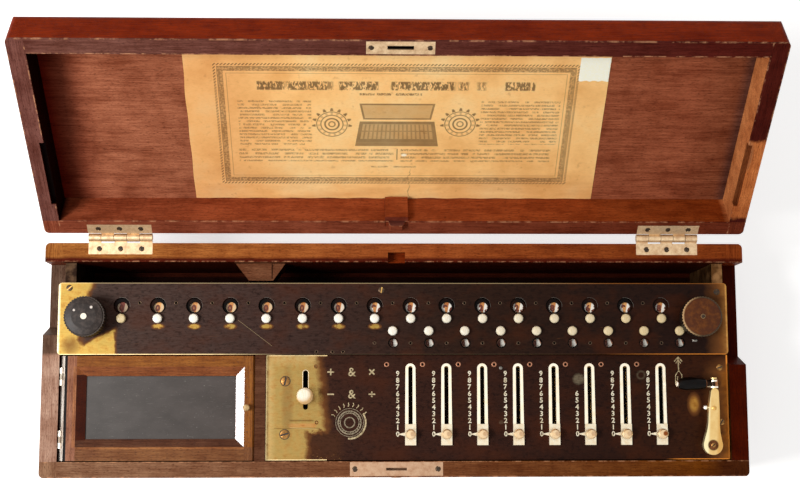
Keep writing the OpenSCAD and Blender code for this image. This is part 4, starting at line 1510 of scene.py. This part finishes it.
def slab(low: Place, high: Place) -> bpy.types.Object:
    """A box between two corners in millimetres, left in edit mode with its top selected.

    Args:
        low: Its lower corner.
        high: Its upper corner.

    Returns:
        The new object.
    """
    clear()
    size = [b - a for a, b in zip(low, high)]
    middle = [(a + b) / 2 for a, b in zip(low, high)]
    bpy.ops.mesh.primitive_cube_add(size=1, location=middle, scale=size)
    bpy.ops.object.transform_apply(location=True, rotation=False, scale=True)
    bpy.ops.object.mode_set(mode="EDIT")
    pick(lambda face: face.normal.z > 0.9)
    return bpy.context.object


def carve(piece: bpy.types.Object, cutter: bpy.types.Object) -> None:
    """Cuts one mesh out of another and removes the cutter.

    Args:
        piece: The mesh.
        cutter: The mesh that is taken away.
    """
    only(piece)
    change = piece.modifiers.new("cut", "BOOLEAN")
    change.object, change.solver = cutter, "EXACT"
    bpy.ops.object.modifier_apply(modifier=change.name)
    bpy.data.objects.remove(cutter)


def copies(master: bpy.types.Object, places: list[Matrix], keep: bool = False) -> bpy.types.Object:
    """One object made of copies of a master's mesh.

    Args:
        master: The object that is copied. It is removed afterwards unless it is kept.
        places: A matrix for each copy, from the master's millimetres.
        keep: Whether the master stays for more copies.

    Returns:
        The joined object.
    """
    clear()
    made = []
    for place in places:
        copy = bpy.data.objects.new(master.name, master.data.copy())
        copy.data.transform(place)
        bpy.context.collection.objects.link(copy)
        made.append(copy)
    if not keep:
        bpy.data.objects.remove(master)
    return joined(made)


def joined(pieces: list[bpy.types.Object]) -> bpy.types.Object:
    """Joins meshes into the first of them.

    Args:
        pieces: The meshes.

    Returns:
        The joined object.
    """
    only(pieces[0])
    for piece in pieces:
        piece.select_set(True)
    if len(pieces) > 1:
        bpy.ops.object.join()
    return bpy.context.object


def settle(piece: bpy.types.Object, name: str, body: str, finish: Finish,
           place: Matrix | None = None, smooth: float = 35.0) -> None:
    """Finishes a piece: its place goes into the mesh, finish and body given.

    Args:
        piece: The object to finish, in bench millimetres.
        name: The piece's name.
        body: The body it rides on.
        finish: Its finish.
        place: The matrix from its millimetres to the frame, the bench's if none is given.
        smooth: Edges sharper than this many degrees stay sharp.
    """
    only(piece)
    bpy.ops.object.transform_apply(location=True, rotation=True, scale=True)
    piece.data.transform(bench_frame() if place is None else place)
    piece.data.update()
    bpy.ops.object.shade_smooth_by_angle(angle=math.radians(smooth))
    piece.name = piece.data.name = name
    piece.data.materials.clear()
    piece.data.materials.append(finish.make())
    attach(piece, body)
    LOG.info("%s rides on %s, %d faces", name, body, len(piece.data.polygons))


def outward(piece: bpy.types.Object, merge: float = 0.0005) -> None:
    """Merges doubles and turns the normals outward.

    Args:
        piece: The mesh.
        merge: Points closer than this become one.
    """
    only(piece)
    bpy.ops.object.mode_set(mode="EDIT")
    bpy.ops.mesh.select_all(action="SELECT")
    bpy.ops.mesh.remove_doubles(threshold=merge)
    bpy.ops.mesh.normals_make_consistent(inside=False)
    bpy.ops.object.mode_set(mode="OBJECT")


def glyph(sign: str, height: float, thick: float = 0.04, weight: float = 0.035) -> bpy.types.Object:
    """One figure or sign as a thin closed mesh, centred, in millimetres.

    Args:
        sign: The character.
        height: The height of a figure.
        thick: How far it stands up.
        weight: How much its strokes are fattened, as a share of the height.

    Returns:
        The mesh object.
    """
    clear()
    bpy.ops.object.text_add(location=(0, 0, 0))
    text = bpy.context.object
    text.data.body = sign
    text.data.size = height / 0.72
    text.data.align_x, text.data.align_y = "CENTER", "CENTER"
    text.data.resolution_u = 2
    text.data.offset = height * weight
    text.data.extrude = thick / 2
    bpy.ops.object.convert(target="MESH")
    piece = bpy.context.object
    xs = [v.co.x for v in piece.data.vertices]
    ys = [v.co.y for v in piece.data.vertices]
    middle = Vector(((min(xs) + max(xs)) / 2, (min(ys) + max(ys)) / 2, -thick / 2))
    piece.data.transform(Matrix.Translation(-middle))
    outward(piece)
    return piece


def stroke(points: list[tuple[float, float]], width: float, z: float,
           thick: float = 0.06) -> bpy.types.Object:
    """An engraved line filled with wax: a flattened round ribbon through points of the plan.

    Args:
        points: Places in the plan, in millimetres.
        width: The line's width.
        z: The height of the surface it lies on.
        thick: How far it stands up.

    Returns:
        The mesh object.
    """
    clear()
    bpy.ops.curve.primitive_nurbs_path_add()
    line = bpy.context.object
    line.data.splines.clear()
    spline = line.data.splines.new("POLY")
    spline.points.add(len(points) - 1)
    for point, (x, y) in zip(spline.points, points):
        point.co = (x, y, 0, 1)
    line.data.bevel_depth, line.data.bevel_resolution = width / 2, 1
    line.data.use_fill_caps = True
    bpy.ops.object.convert(target="MESH")
    piece = bpy.context.object
    flatten = Matrix.Diagonal((1, 1, thick / width * 2, 1))
    piece.data.transform(Matrix.Translation((0, 0, z)) @ flatten)
    outward(piece)
    return piece


def ring(x: float, y: float, z: float, radius: float, thick: float, flat: float = 1.0,
         sides: int = 40) -> bpy.types.Object:
    """A round ring that lies in the plan, in millimetres, flattened in height.

    Args:
        x: Its middle's place in the width.
        y: Its place in the depth.
        z: Its height.
        radius: The radius of its middle line.
        thick: The radius of its section.
        flat: How far its height is pressed together.
        sides: The number of its segments.

    Returns:
        The mesh object.
    """
    clear()
    bpy.ops.mesh.primitive_torus_add(major_radius=radius, minor_radius=thick, major_segments=sides,
                                     minor_segments=10)
    piece = bpy.context.object
    piece.data.transform(Matrix.Translation((x, y, z)) @ Matrix.Diagonal((1, 1, flat, 1)))
    return piece


# ---- sub-assemblies ----


@dataclass
class Screws:
    """Slotted screws, modelled once for each size."""

    slot_share: float = 0.2
    sides: int = 28

    def head(self, radius: float, rise: float, domed: bool = False) -> bpy.types.Object:
        """One screw head that stands on z = 0.

        Args:
            radius: The head's radius.
            rise: Its height.
            domed: Whether its top is rounded.

        Returns:
            The mesh object.
        """
        screw = disc(radius, rise, self.sides)
        if domed:
            for share in (0.18, 0.28):
                move = {"value": (0, 0, rise * 0.3)}
                bpy.ops.mesh.extrude_region_move(TRANSFORM_OT_translate=move)
                bpy.ops.transform.resize(value=(1 - share, 1 - share, 1))
        else:
            bpy.ops.mesh.inset(thickness=radius * 0.1, depth=radius * 0.06)
        bpy.ops.object.mode_set(mode="OBJECT")
        width = radius * self.slot_share
        cutter = slab((-radius * 1.2, -width, rise * 0.45), (radius * 1.2, width, rise * 4))
        bpy.ops.object.mode_set(mode="OBJECT")
        carve(screw, cutter)
        return screw

    def set(self, name: str, body: str, places: list[tuple[Place, float]], radius: float,
            finish: Finish, slot: Slot, to_frame: Matrix | None = None, rise: float = 0.5,
            domed: bool = False, flip: bool = False, filling: Finish = SLOT_SHADE) -> None:
        """Places copies of one screw.

        Args:
            name: The piece's name.
            body: The body it rides on.
            places: Each screw's place and the turn of its slot in degrees.
            radius: The head's radius.
            finish: The screw's finish.
            slot: The record's slot; not used.
            to_frame: The matrix from its millimetres to the frame.
            rise: The head's height.
            domed: Whether the top is rounded.
            flip: Whether the heads point down, as on the lid when it is closed.
            filling: The finish of the bars laid in the slots, painted shade unless another is
                given.
        """
        over = Matrix.Rotation(math.pi, 4, "X") if flip else Matrix.Identity(4)
        spots = [Matrix.Translation(place) @ over @ Matrix.Rotation(math.radians(turn), 4, "Z")
                 for place, turn in places]
        settle(copies(self.head(radius, rise, domed), spots), name, body, finish, to_frame)
        # bars in the slots, in painted shade unless another filling is given
        width = radius * self.slot_share * 0.94
        slot_bar = slab((-radius * 0.93, -width, rise * 0.4),
                    (radius * 0.93, width, rise * (0.7 if domed else 0.55)))
        bpy.ops.object.mode_set(mode="OBJECT")
        settle(copies(slot_bar, spots), f"{name}_filling", body, filling, to_frame)


@dataclass
class Case:
    """The case: its wood, hinges, lock and the escutcheon of the lock on the front face."""

    hinge_spans: tuple[tuple[float, float], ...] = ((-259.0, -205.4), (204.2, 256.4))
    screw_shares: tuple[float, ...] = (0.17, 0.5, 0.83)
    screw_y: float = 190.6
    lock_screw: Plan = (34.5, 6.8)
    keeper_screw_x: float = 22.2

    def build(self, screws: Screws) -> None:
        """Dresses the case's nodes and adds its screws and escutcheon.

        Args:
            screws: The maker of screws.
        """
        dress("case_boards", CaseWood())
        dress("case_hardware", HINGE_BRASS)
        rng = random.Random(4)
        places = [((a + s * (b - a), self.screw_y, -0.62), rng.uniform(0, 180))
                  for a, b in self.hinge_spans for s in self.screw_shares]
        screws.set("case_hinge_screws", "case", places, 2.5, SCREW_STEEL, Slot.BRASS)
        x, y = self.lock_screw
        screws.set("lock_screws", "case", [((-x, y, -0.6), 20.0), ((x, y, -0.6), 75.0)], 2.55,
                   SCREW_STEEL, Slot.BRASS)
        self.escutcheon()

    def escutcheon(self) -> None:
        """An oval plate with a keyhole, let into the front board below the lock, with a black plate
        of painted shade behind the keyhole.
        """
        plate = boss(7.0, 0.9, 40, (0.8, 0.25), (0.5, -0.2))
        plate.data.transform(Matrix.Diagonal((0.72, 1.25, 1, 1)))
        hole = boss(1.5, 4.0, 20)
        hole.data.transform(Matrix.Translation((0, 1.6, -1)))
        carve(plate, hole)
        slit = slab((-0.75, -4.6, -1), (0.75, 1.6, 3))
        bpy.ops.object.mode_set(mode="OBJECT")
        carve(plate, slit)
        face = Matrix.Translation((0, 0.35, -17)) @ Matrix.Rotation(math.radians(90), 4, "X")
        settle(plate, "keyhole_escutcheon", "case", HINGE_BRASS, bench_frame() @ face)
        # painted shade: a black plate behind the keyhole
        dark = boss(2.6, 0.4, 24, (0.4, -0.1))
        dark.data.transform(Matrix.Diagonal((0.85, 2.3, 1, 1)))
        stand = Matrix.Translation((0, 0.02, -17.6)) @ Matrix.Rotation(math.radians(90), 4, "X")
        settle(dark, "keyhole_painted_shade", "case", Ebony(), bench_frame() @ stand)


@dataclass
class Lid:
    """The lid: wood, hinge leaves, keeper plate, the printed sheet and a blank label."""

    sheet: Area = (-170.4, 167.5, 17.5, 181.6)
    label: Area = (142.6, 167.1, 34.8, 58.0)
    panel_z: float = 30.0

    def build(self, screws: Screws, case: Case) -> None:
        """Dresses the lid's nodes and adds its pieces.

        Args:
            screws: The maker of screws.
            case: The case, whose hinges and lock it shares.
        """
        dress("lid_boards", LidWood())
        dress("lid_hardware", HINGE_BRASS)
        rng = random.Random(9)
        places = [((a + s * (b - a), case.screw_y, 0.94), rng.uniform(0, 180))
                  for a, b in case.hinge_spans for s in case.screw_shares]
        screws.set("lid_hinge_screws", "lid", places, 2.5, SCREW_STEEL, Slot.BRASS, lid_frame(),
                   flip=True)
        x, y = case.keeper_screw_x, case.lock_screw[1]
        screws.set("keeper_screws", "lid", [((-x, y, 0.9), 50.0), ((x, y, 0.9), 10.0)], 2.35,
                   SCREW_STEEL, Slot.BRASS, lid_frame(), flip=True)
        self.paper("instruction_sheet", self.sheet, PrintedSheet(), 0.12, 3)
        self.paper("blank_label", self.label, BlankPaper(), 0.38, 5)

    def paper(self, name: str, area: Area, finish: Finish, lift: float,
              seed: int) -> None:
        """A glued sheet with slight cockles and worn corners.

        Args:
            name: The piece's name.
            area: Left, right, rear and front edges on the closed lid.
            finish: Its finish.
            lift: How far it stands off the panel.
            seed: The seed of its cockles.
        """
        x0, x1, y0, y1 = area
        clear()
        bpy.ops.mesh.primitive_grid_add(x_subdivisions=60, y_subdivisions=30, size=1)
        piece = bpy.context.object
        bpy.ops.transform.resize(value=(x1 - x0, y1 - y0, 1))
        bpy.ops.transform.translate(value=((x0 + x1) / 2, (y0 + y1) / 2, self.panel_z - lift))
        bpy.ops.object.transform_apply(location=True, rotation=False, scale=True)
        rng = random.Random(seed)
        waves = [(rng.uniform(0.02, 0.09), rng.uniform(0.02, 0.12), rng.uniform(0, 6))
                 for _ in range(5)]
        for vertex in piece.data.vertices:
            x, y, z = vertex.co
            swell = sum(math.sin(a * x + b * y + c) for a, b, c in waves) / 5
            vertex.co.z = z - 0.1 * (swell + 1)
            near = min(x - x0, x1 - x, y - y0, y1 - y)
            if near < 0.1:
                inward = 0.5 * (1 + math.sin(x * 0.9) * math.cos(y * 1.3))
                if x - x0 < 0.1:
                    inward += 1.6 * max(0.0, 1 - (y - y0) / 50)
                middle = Vector(((x0 + x1) / 2, (y0 + y1) / 2, vertex.co.z))
                vertex.co += (middle - vertex.co).normalized() * inward
        only(piece)
        wall = piece.modifiers.new("paper", "SOLIDIFY")
        wall.thickness, wall.offset = 0.1, 0
        bpy.ops.object.modifier_apply(modifier=wall.name)
        outward(piece, 0.00001)
        settle(piece, name, "lid", finish, lid_frame(), 60)


@dataclass
class SlateLid:
    """The framed slate over the compartment."""

    def build(self) -> None:
        """Dresses the frame and the slate."""
        dress("slate_frame", FrameWood())
        dress("slate_panel", Slate())


@dataclass
class FixedPlate:
    """The lacquered plate with its rails, figures, signs, rosette, arrow and small fittings."""

    figure_dx: float = -10.7
    zero_y: float = 35.5
    figure_step: float = 5.6
    figure_h: float = 4.2
    rosette: Plan = (-39.0, 45.1)
    selector_x: float = -76.0
    selector_screws: tuple[Plan, Plan] = ((-92.9, 79.6), (-93.2, 35.4))
    right_screws: tuple[Plan, Plan] = ((273.5, 90.7), (273.8, 45.0))
    arrow_x: float = 238.5
    peg: Plan = (87.9, 90.5)

    def build(self, screws: Screws) -> None:
        """Dresses the plate and adds what lies on it.

        Args:
            screws: The maker of screws.
        """
        dress("fixed_plate", FixedLacquer())
        dress("slot_rails", RAIL_NICKEL)
        dress("selector_knob", Ivory())
        dress("bearing_frame", FrameMetal())
        dress("main_shaft", DRUM_BRASS)
        for number in range(1, INPUTS + 1):
            dress(f"stepped_drum_{number}", DRUM_BRASS)
            dress(f"digit_slider_{number}", SliderFinish())
        self.figures()
        self.signs()
        self.emblem()
        self.arrow()
        self.slot_rim()
        self.peg_rings()
        places = [((*at, PLATE_Z - 0.1), turn) for at,
                  turn in zip(self.selector_screws, (78.0, 15.0))]
        screws.set("selector_screws", "case", places, 3.7, SCREW_BRASS, Slot.BRASS, rise=0.55)
        # painted shade: dark rings round the selector's screws
        rims = [ring(x, y, PLATE_Z, 4.1, 0.28, 0.6) for x, y in self.selector_screws]
        settle(joined(rims), "selector_screw_rims", "case", SLOT_SHADE)
        places = [((*at, PLATE_Z - 0.15), turn) for at,
                  turn in zip(self.right_screws, (20.0, 60.0))]
        screws.set("plate_screws", "case", places, 2.6, SCREW_BRASS, Slot.BRASS, rise=0.5)

    def figures(self) -> None:
        """The figures 0 to 9 to the left of each slot. Three of the sixth column are worn away."""
        masters = {d: glyph(str(d), self.figure_h) for d in range(10)}
        made = []
        for d, master in masters.items():
            places = [Matrix.Translation((slot_x(i) + self.figure_dx, self.zero_y + self.figure_step
                                          * d, PLATE_Z - 0.01))
                      for i in range(INPUTS) if not (i == 5 and d > 6)]
            made.append(copies(master, places))
        settle(joined(made), "plate_figures", "case", FIGURE_WHITE, smooth=20)

    def signs(self) -> None:
        """The two working positions, each marked with its pair of signs."""
        made = []
        for y, signs in ((87.2, "+&×"), (68.6, "−&÷")):
            for x, sign in zip((-55.0, -37.2, -20.5), signs):
                piece = glyph(sign, 7.4 if sign == "&" else 8.2, weight=0.015)
                piece.data.transform(Matrix.Translation((x, y, PLATE_Z - 0.01)))
                made.append(piece)
        settle(joined(made), "sign_engraving", "case", SIGN_CREAM, smooth=20)

    def emblem(self) -> None:
        """A plain engraved roundel: a bright crescent, faint rings and a fan of ticks."""
        x0, y0 = self.rosette
        faint = [ring(x0, y0, PLATE_Z, r, t, 0.25) for r,
                 t in ((11.6, 0.22), (9.6, 0.5), (7.8, 0.32), (4.2, 0.5))]
        for k in range(24):
            turn = math.radians(k * 15)
            ends = [(x0 + r * math.cos(a), y0 + r * math.sin(a))
                    for r, a in ((9.4, turn), (7.8, turn + 0.2))]
            faint.append(stroke(ends, 0.4, PLATE_Z))
        settle(joined(faint), "roundel_rings", "case", SIGN_DIM)
        made = []
        for k in range(9):
            turn = math.radians(34 + k * 15.5)
            made.append(stroke([(x0 + r * math.cos(turn - lean), y0 + r * math.sin(turn - lean))
                                for r, lean in ((13.2, 0.0), (14.8, 0.06), (16.6, 0.03))], 0.75,
                               PLATE_Z))
        arc = [math.radians(a) for a in range(-96, 33, 8)]
        made.append(stroke([(x0 + 13.4 * math.cos(a), y0 + 13.4 * math.sin(a)) for a in arc], 1.4,
                           PLATE_Z))
        settle(joined(made), "roundel_fan", "case", SIGN_CREAM)

    def arrow(self) -> None:
        """The arrow of the crank's direction of turning, engraved behind the handle."""
        x = self.arrow_x
        made = [stroke([(x - 3.3, 95.8), (x, 99.6), (x + 3.3, 95.8)], 1.05, PLATE_Z),
                stroke([(x - 2.0, 94.2), (x, 97.6), (x + 2.0, 94.2)], 0.9, PLATE_Z),
                stroke([(x, 99.4), (x + 0.2, 87.0)], 0.9, PLATE_Z),
                stroke([(x - 2.6, 77.2), (x - 2.6, 84.0), (x + 0.2, 88.4), (x + 2.8, 84.5),
                        (x + 2.8, 79.0)], 0.8, PLATE_Z),
                stroke([(x - 1.0, 76.8), (x - 0.8, 83.5)], 0.6, PLATE_Z)]
        settle(joined(made), "turning_arrow", "case", SIGN_CREAM)

    def slot_rim(self) -> None:
        """A thin bright rim round the upper part of the selector's slot."""
        x = self.selector_x
        arc = [math.radians(a) for a in range(0, 181, 15)]
        line = ([(x + 2.45, 71.0)] + [(x + 2.45 * math.cos(a), 86.45 + 2.45 * math.sin(a))
                                      for a in arc])
        settle(stroke(line + [(x - 2.45, 71.0)], 0.5, PLATE_Z, 0.3), "selector_slot_rim", "case",
               RAIL_NICKEL)

    def peg_rings(self) -> None:
        """Rings of the decimal pegs' holes, browned, with one dark peg left in its place."""
        places = [(slot_x(i) + 10.2, 93.5) for i in range(-1, INPUTS - 1)]
        spots = [Matrix.Translation((x, y, PLATE_Z + 0.02)) for x, y in places]
        settle(copies(ring(0, 0, 0, 1.65, 0.55, 0.5, 24), spots), "plate_peg_rings", "case",
               WORN_COPPER)
        small = [ring(-67.4, 91.8, PLATE_Z, 1.3, 0.4, 0.6, 20),
                 ring(-66.7, 45.2, PLATE_Z, 1.2, 0.4, 0.6, 20)]
        settle(joined(small), "selector_peg_rings", "case", COPPER_BROWN)
        peg = boss(1.5, 0.8, 24, (0.35, 0.3), (0.4, 0.15))
        peg.data.transform(Matrix.Translation((*self.peg, PLATE_Z - 0.05)))
        settle(peg, "decimal_peg", "case", STEEL)


@dataclass
class Crank:
    """The crank's arm, folding yoke and grip."""

    grip_y: float = 76.65
    grip_z: float = 10.0

    def build(self, screws: Screws) -> None:
        """Dresses the crank and adds its hub screw, rivet and ferrules.

        Args:
            screws: The maker of screws.
        """
        dress("crank_arm", ArmBrass())
        dress("crank_yoke", YokeMetal())
        dress("crank_grip", Ebony())
        screws.set("crank_hub_screw", "crank", [((CRANK[0], CRANK[1], 13.1), 40.0)], 1.9,
                   SCREW_BRASS, Slot.BRASS, rise=0.7, domed=True)
        washer = boss(3.6, 0.5, 40, (0.3, 0.15))
        washer.data.transform(Matrix.Translation((*CRANK, 12.6)))
        settle(washer, "crank_hub_washer", "crank", COPPER_BROWN)
        rivet = boss(1.9, 0.5, 24, (0.5, 0.35))
        rivet.data.transform(Matrix.Translation((263.8, 56.5, 12.75)))
        settle(rivet, "crank_rivet", "crank", GILT)
        self.ferrules()

    def ferrules(self) -> None:
        """Turned rings at both ends of the grip."""
        made = []
        for x, radius in ((CRANK[0] + 2.6 - 7.0, 3.8), (CRANK[0] + 2.6 - 29.4, 3.3)):
            piece = ring(0, 0, 0, radius - 0.5, 0.55, 1.4, 32)
            piece.data.transform(Matrix.Translation((x, self.grip_y, self.grip_z))
                                 @ Matrix.Rotation(math.pi / 2, 4, "Y"))
            made.append(piece)
        settle(joined(made), "grip_ferrules", "crank_handle", COPPER_BROWN)


@dataclass
class Carriage:
    """The carriage: plate, frame, rod, dials with their figures, and the zeroing knobs."""

    shown: tuple[int, ...] = (0, 0, 0, 0, 0, 0, 0, 9, 8, 9, 2, 2, 8, 6, 9, 8)
    counted: tuple[int, ...] = (0, 0, 0, 6, 0, 1, 0, 3, 0)
    result_r: float = 9.2
    counter_r: float = 10.0
    window_at: float = 10.8
    left_knob: float = -257.0
    right_knob: float = 254.0

    def build(self, screws: Screws) -> None:
        """Dresses the carriage and adds its figures and fittings.

        Args:
            screws: The maker of screws.
        """
        dress("carriage_plate", CarriageLacquer())
        dress("carriage_frame", DRUM_BRASS)
        dress("carriage_rod", STEEL)
        # painted highlights: the black knob's glints, and the brown knob's rim lit at its left
        dress("left_zero_knob", KnobEnamel("japanned_black_knob", self.left_knob, "#2a221e",
                                           "#524640", "#40362f", "#fff4dc", 0.0, 1.0,
                                           ((6.0, 7.5, 1.1), (-8.0, 5.0, 0.9))))
        dress("right_zero_knob", KnobEnamel("worn_brown_knob", self.right_knob, "#4e2408",
                                            "#744012", "#d0a878", "#b99a6a", 1.0, 0.12))
        for k in range(1, RESULTS + 1):
            dress(f"result_dial_{k}", RESULT_DIAL)
        for k in range(1, COUNTERS + 1):
            dress(f"counter_dial_{k}", COUNTER_DIAL)
        self.dial_figures()
        self.peg_rings()
        self.window_rims()
        self.clip()
        screws.set("carriage_screws", "carriage",
                   [((-273.2, 157.1, CARRIAGE_Z - 0.1), 40.0),
                    ((-12.5, 155.6, CARRIAGE_Z - 0.1), 80.0)], 2.6, SCREW_STEEL, Slot.BRASS,
                   rise=0.5, filling=GILT)
        screws.set("right_carriage_screw", "carriage", [((271.0, 154.1, CARRIAGE_Z - 0.1), 15.0)],
                   2.6, SCREW_STEEL, Slot.BRASS, rise=0.5)
        screws.set("right_knob_screw", "right_zero", [((self.right_knob, ZERO_KNOB_Y, 23.6), 35.0)],
                   1.7, SCREW_STEEL, Slot.BRASS, rise=0.5, domed=True)

    def dial_figures(self) -> None:
        """The ring of figures on each number disc, turned so that one shows in the window."""
        big = [glyph(str(d), 5.0, 0.05, 0.1) for d in range(10)]
        small = [glyph(str(d), 3.8, 0.05, 0.09) for d in range(10)]
        for k, show in enumerate(self.shown):
            places = [self.on_disc(slot_x(k - 8), RESULT_Y, (-0.7, self.result_r), -0.2, show - d)
                      for d in range(10)]
            self.disc_figures(big, places, f"result_figures_{k + 1}", f"result_{k + 1}")
        for k, show in enumerate(self.counted):
            places = [self.on_disc(slot_x(k - 0.5), COUNTER_Y, (-0.7, -self.counter_r), -2.2, show
                                   - d) for d in range(10)]
            self.disc_figures(small, places, f"counter_figures_{k + 1}", f"counter_{k + 1}")
        for master in big + small:
            bpy.data.objects.remove(master)

    def on_disc(self, x: float, y: float, shown: Plan, z: float, steps: int) -> Matrix:
        """The matrix of a figure some tenths round a disc from the one that is shown."""
        turn = Matrix.Rotation(math.radians(steps * 36), 4, "Z")
        return Matrix.Translation((x, y, z - 0.01)) @ turn @ Matrix.Translation((*shown, 0))

    def disc_figures(self, masters: list[bpy.types.Object], places: list[Matrix], name: str,
                     body: str) -> None:
        """Joins one copy of each figure onto a disc."""
        made = [copies(master, [place], keep=True) for master, place in zip(masters, places)]
        settle(joined(made), name, body, DIAL_BROWN, smooth=20)

    def peg_rings(self) -> None:
        """Small rings of the peg holes between the windows."""
        places = [(slot_x(k - 7.5), 144.6) for k in range(RESULTS - 1)]
        places += [(slot_x(k), 111.0) for k in range(COUNTERS - 1)]
        places += [(-66.8, 103.7), (-53.4, 103.7), (-44.7, 103.7), (-18.3, 111.0)]
        spots = [Matrix.Translation((x, y, CARRIAGE_Z + 0.02)) for x, y in places]
        settle(copies(ring(0, 0, 0, 1.25, 0.34, 0.6, 20), spots), "carriage_peg_rings", "carriage",
               SCREW_STEEL)

    def window_rims(self) -> None:
        """A painted highlight: a thin bright arc at the rear right of each result window, where its
        wall is lit.
        """
        spots = [Matrix.Translation((slot_x(k - 8), RESULT_Y + self.window_at, CARRIAGE_Z))
                 for k in range(RESULTS)]
        arc = [math.radians(a) for a in range(-10, 116, 9)]
        master = stroke([(6.95 * math.cos(a), 6.95 * math.sin(a)) for a in arc], 0.2, 0.0, 0.1)
        settle(copies(master, spots), "window_rims", "carriage", STEEL)

    def clip(self) -> None:
        """The small spring clip in front of the right knob."""
        piece = slab((249.0, 112.0, CARRIAGE_Z), (252.8, 114.2, CARRIAGE_Z + 0.7))
        bpy.ops.mesh.inset(thickness=0.5, depth=0.0)
        bpy.ops.mesh.extrude_region_move(TRANSFORM_OT_translate={"value": (0.8, 0, 0.9)})
        bpy.ops.mesh.select_all(action="SELECT")
        bpy.ops.mesh.bevel(offset=0.25, segments=2, affect="EDGES")
        bpy.ops.object.mode_set(mode="OBJECT")
        settle(piece, "knob_clip", "carriage", STEEL)


def dress(node: str, finish: Finish) -> None:
    """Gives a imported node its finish.

    Args:
        node: The node's name.
        finish: Its finish.
    """
    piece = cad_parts[node]
    for slot in piece.material_slots:
        slot.link = "OBJECT"
        slot.material = finish.make()
    LOG.info("%s is dressed in %s", node, finish.name)


@dataclass
class Studio:
    """The camera, the lamps and the pale floor."""

    lens: float = 61.4
    place: Place = (-0.0283936, -0.0528646, 1.2409285)
    tilt: Place = (7.33879, -1.5671, -0.11006)
    ambient: float = 0.35
    key_power: float = 22.5
    fill_share: float = 0.06
    key: Place = (-1.06, -0.17, 1.31)
    fill: Place = (0.7, -1.1, 1.4)
    aim: Place = (0.0, 0.03, 0.1)
    glow: float = 0.6

    def build(self) -> None:
        """Makes the stage."""
        self.camera()
        self.world()
        self.lamps()
        self.floor()
        bpy.context.scene.view_settings.view_transform = "Standard"

    def camera(self) -> None:
        """The camera at the photograph's place."""
        data = bpy.data.cameras.new("camera")
        data.lens, data.sensor_width = self.lens, 36.0
        data.clip_start, data.clip_end = 0.01, 20
        camera = bpy.data.objects.new("camera", data)
        camera.location = self.place
        camera.rotation_euler = Euler([math.radians(a) for a in self.tilt], "XYZ")
        bpy.context.scene.collection.objects.link(camera)
        bpy.context.scene.camera = camera

    def world(self) -> None:
        """White to the camera and in reflections, and a plain ambient light elsewhere."""
        world = bpy.data.worlds.new("studio")
        bpy.context.scene.world = world
        world.use_nodes = True
        tree = world.node_tree
        tree.nodes.clear()
        strength = put(tree, "MapRange", {0: self.seen(tree), 3: self.ambient, 4: 1.0}).outputs[0]
        sky = put(tree, "Background", {"Color": "#ffffff", "Strength": strength})
        put(tree, "OutputWorld", {"Surface": sky.outputs[0]})

    def seen(self, tree: bpy.types.NodeTree) -> bpy.types.NodeSocket:
        """1 for camera, glossy and transmission rays, which see the white background.

        Args:
            tree: The tree that reads it.

        Returns:
            The mask.
        """
        path = put(tree, "LightPath").outputs
        shiny = put(tree, "Math", {0: path["Is Glossy Ray"], 1: path["Is Transmission Ray"]},
                    operation="MAXIMUM").outputs[0]
        return put(tree, "Math", {0: path["Is Camera Ray"], 1: shiny},
                   operation="MAXIMUM").outputs[0]

    def lamps(self) -> None:
        """A soft key from the left, and a weak fill from the front right."""
        for name, place, size, power in (("key", self.key, 0.5, self.key_power),
                                         ("fill", self.fill, 1.2, self.key_power
                                          * self.fill_share)):
            data = bpy.data.lights.new(name, "AREA")
            data.size, data.energy = size, power
            lamp = bpy.data.objects.new(name, data)
            lamp.location = place
            aim = Vector(self.aim) - Vector(place)
            lamp.rotation_euler = aim.to_track_quat("-Z", "Y").to_euler()
            bpy.context.scene.collection.objects.link(lamp)

    def floor(self) -> None:
        """A wide pale floor, whitened for the camera, that keeps the object's shadow."""
        clear()
        bpy.ops.mesh.primitive_plane_add(size=12, location=(0, 0, 0))
        floor = bpy.context.object
        floor.name = "floor"
        material = bpy.data.materials.new("pale_floor")
        material.use_nodes = True
        tree = material.node_tree
        tree.nodes.clear()
        glow = put(tree, "MapRange", {0: self.seen(tree), 3: 0.0, 4: self.glow}).outputs[0]
        shader = put(tree, "BsdfPrincipled",
                     {"Base Color": "#f4f3f0", "Roughness": 0.9, "Specular IOR Level": 0.0,
                      "Emission Color": "#ffffff", "Emission Strength": glow})
        put(tree, "OutputMaterial", {"Surface": shader.outputs[0]})
        floor.data.materials.append(material)


def main() -> None:
    """Builds the stage and each sub-assembly."""
    logging.basicConfig(level=logging.INFO, format="%(name)s: %(message)s")
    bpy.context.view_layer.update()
    clear()
    Studio().build()
    screws = Screws()
    case = Case()
    case.build(screws)
    Lid().build(screws, case)
    SlateLid().build()
    FixedPlate().build(screws)
    Crank().build(screws)
    Carriage().build(screws)


if __name__ == "__main__":
    main()
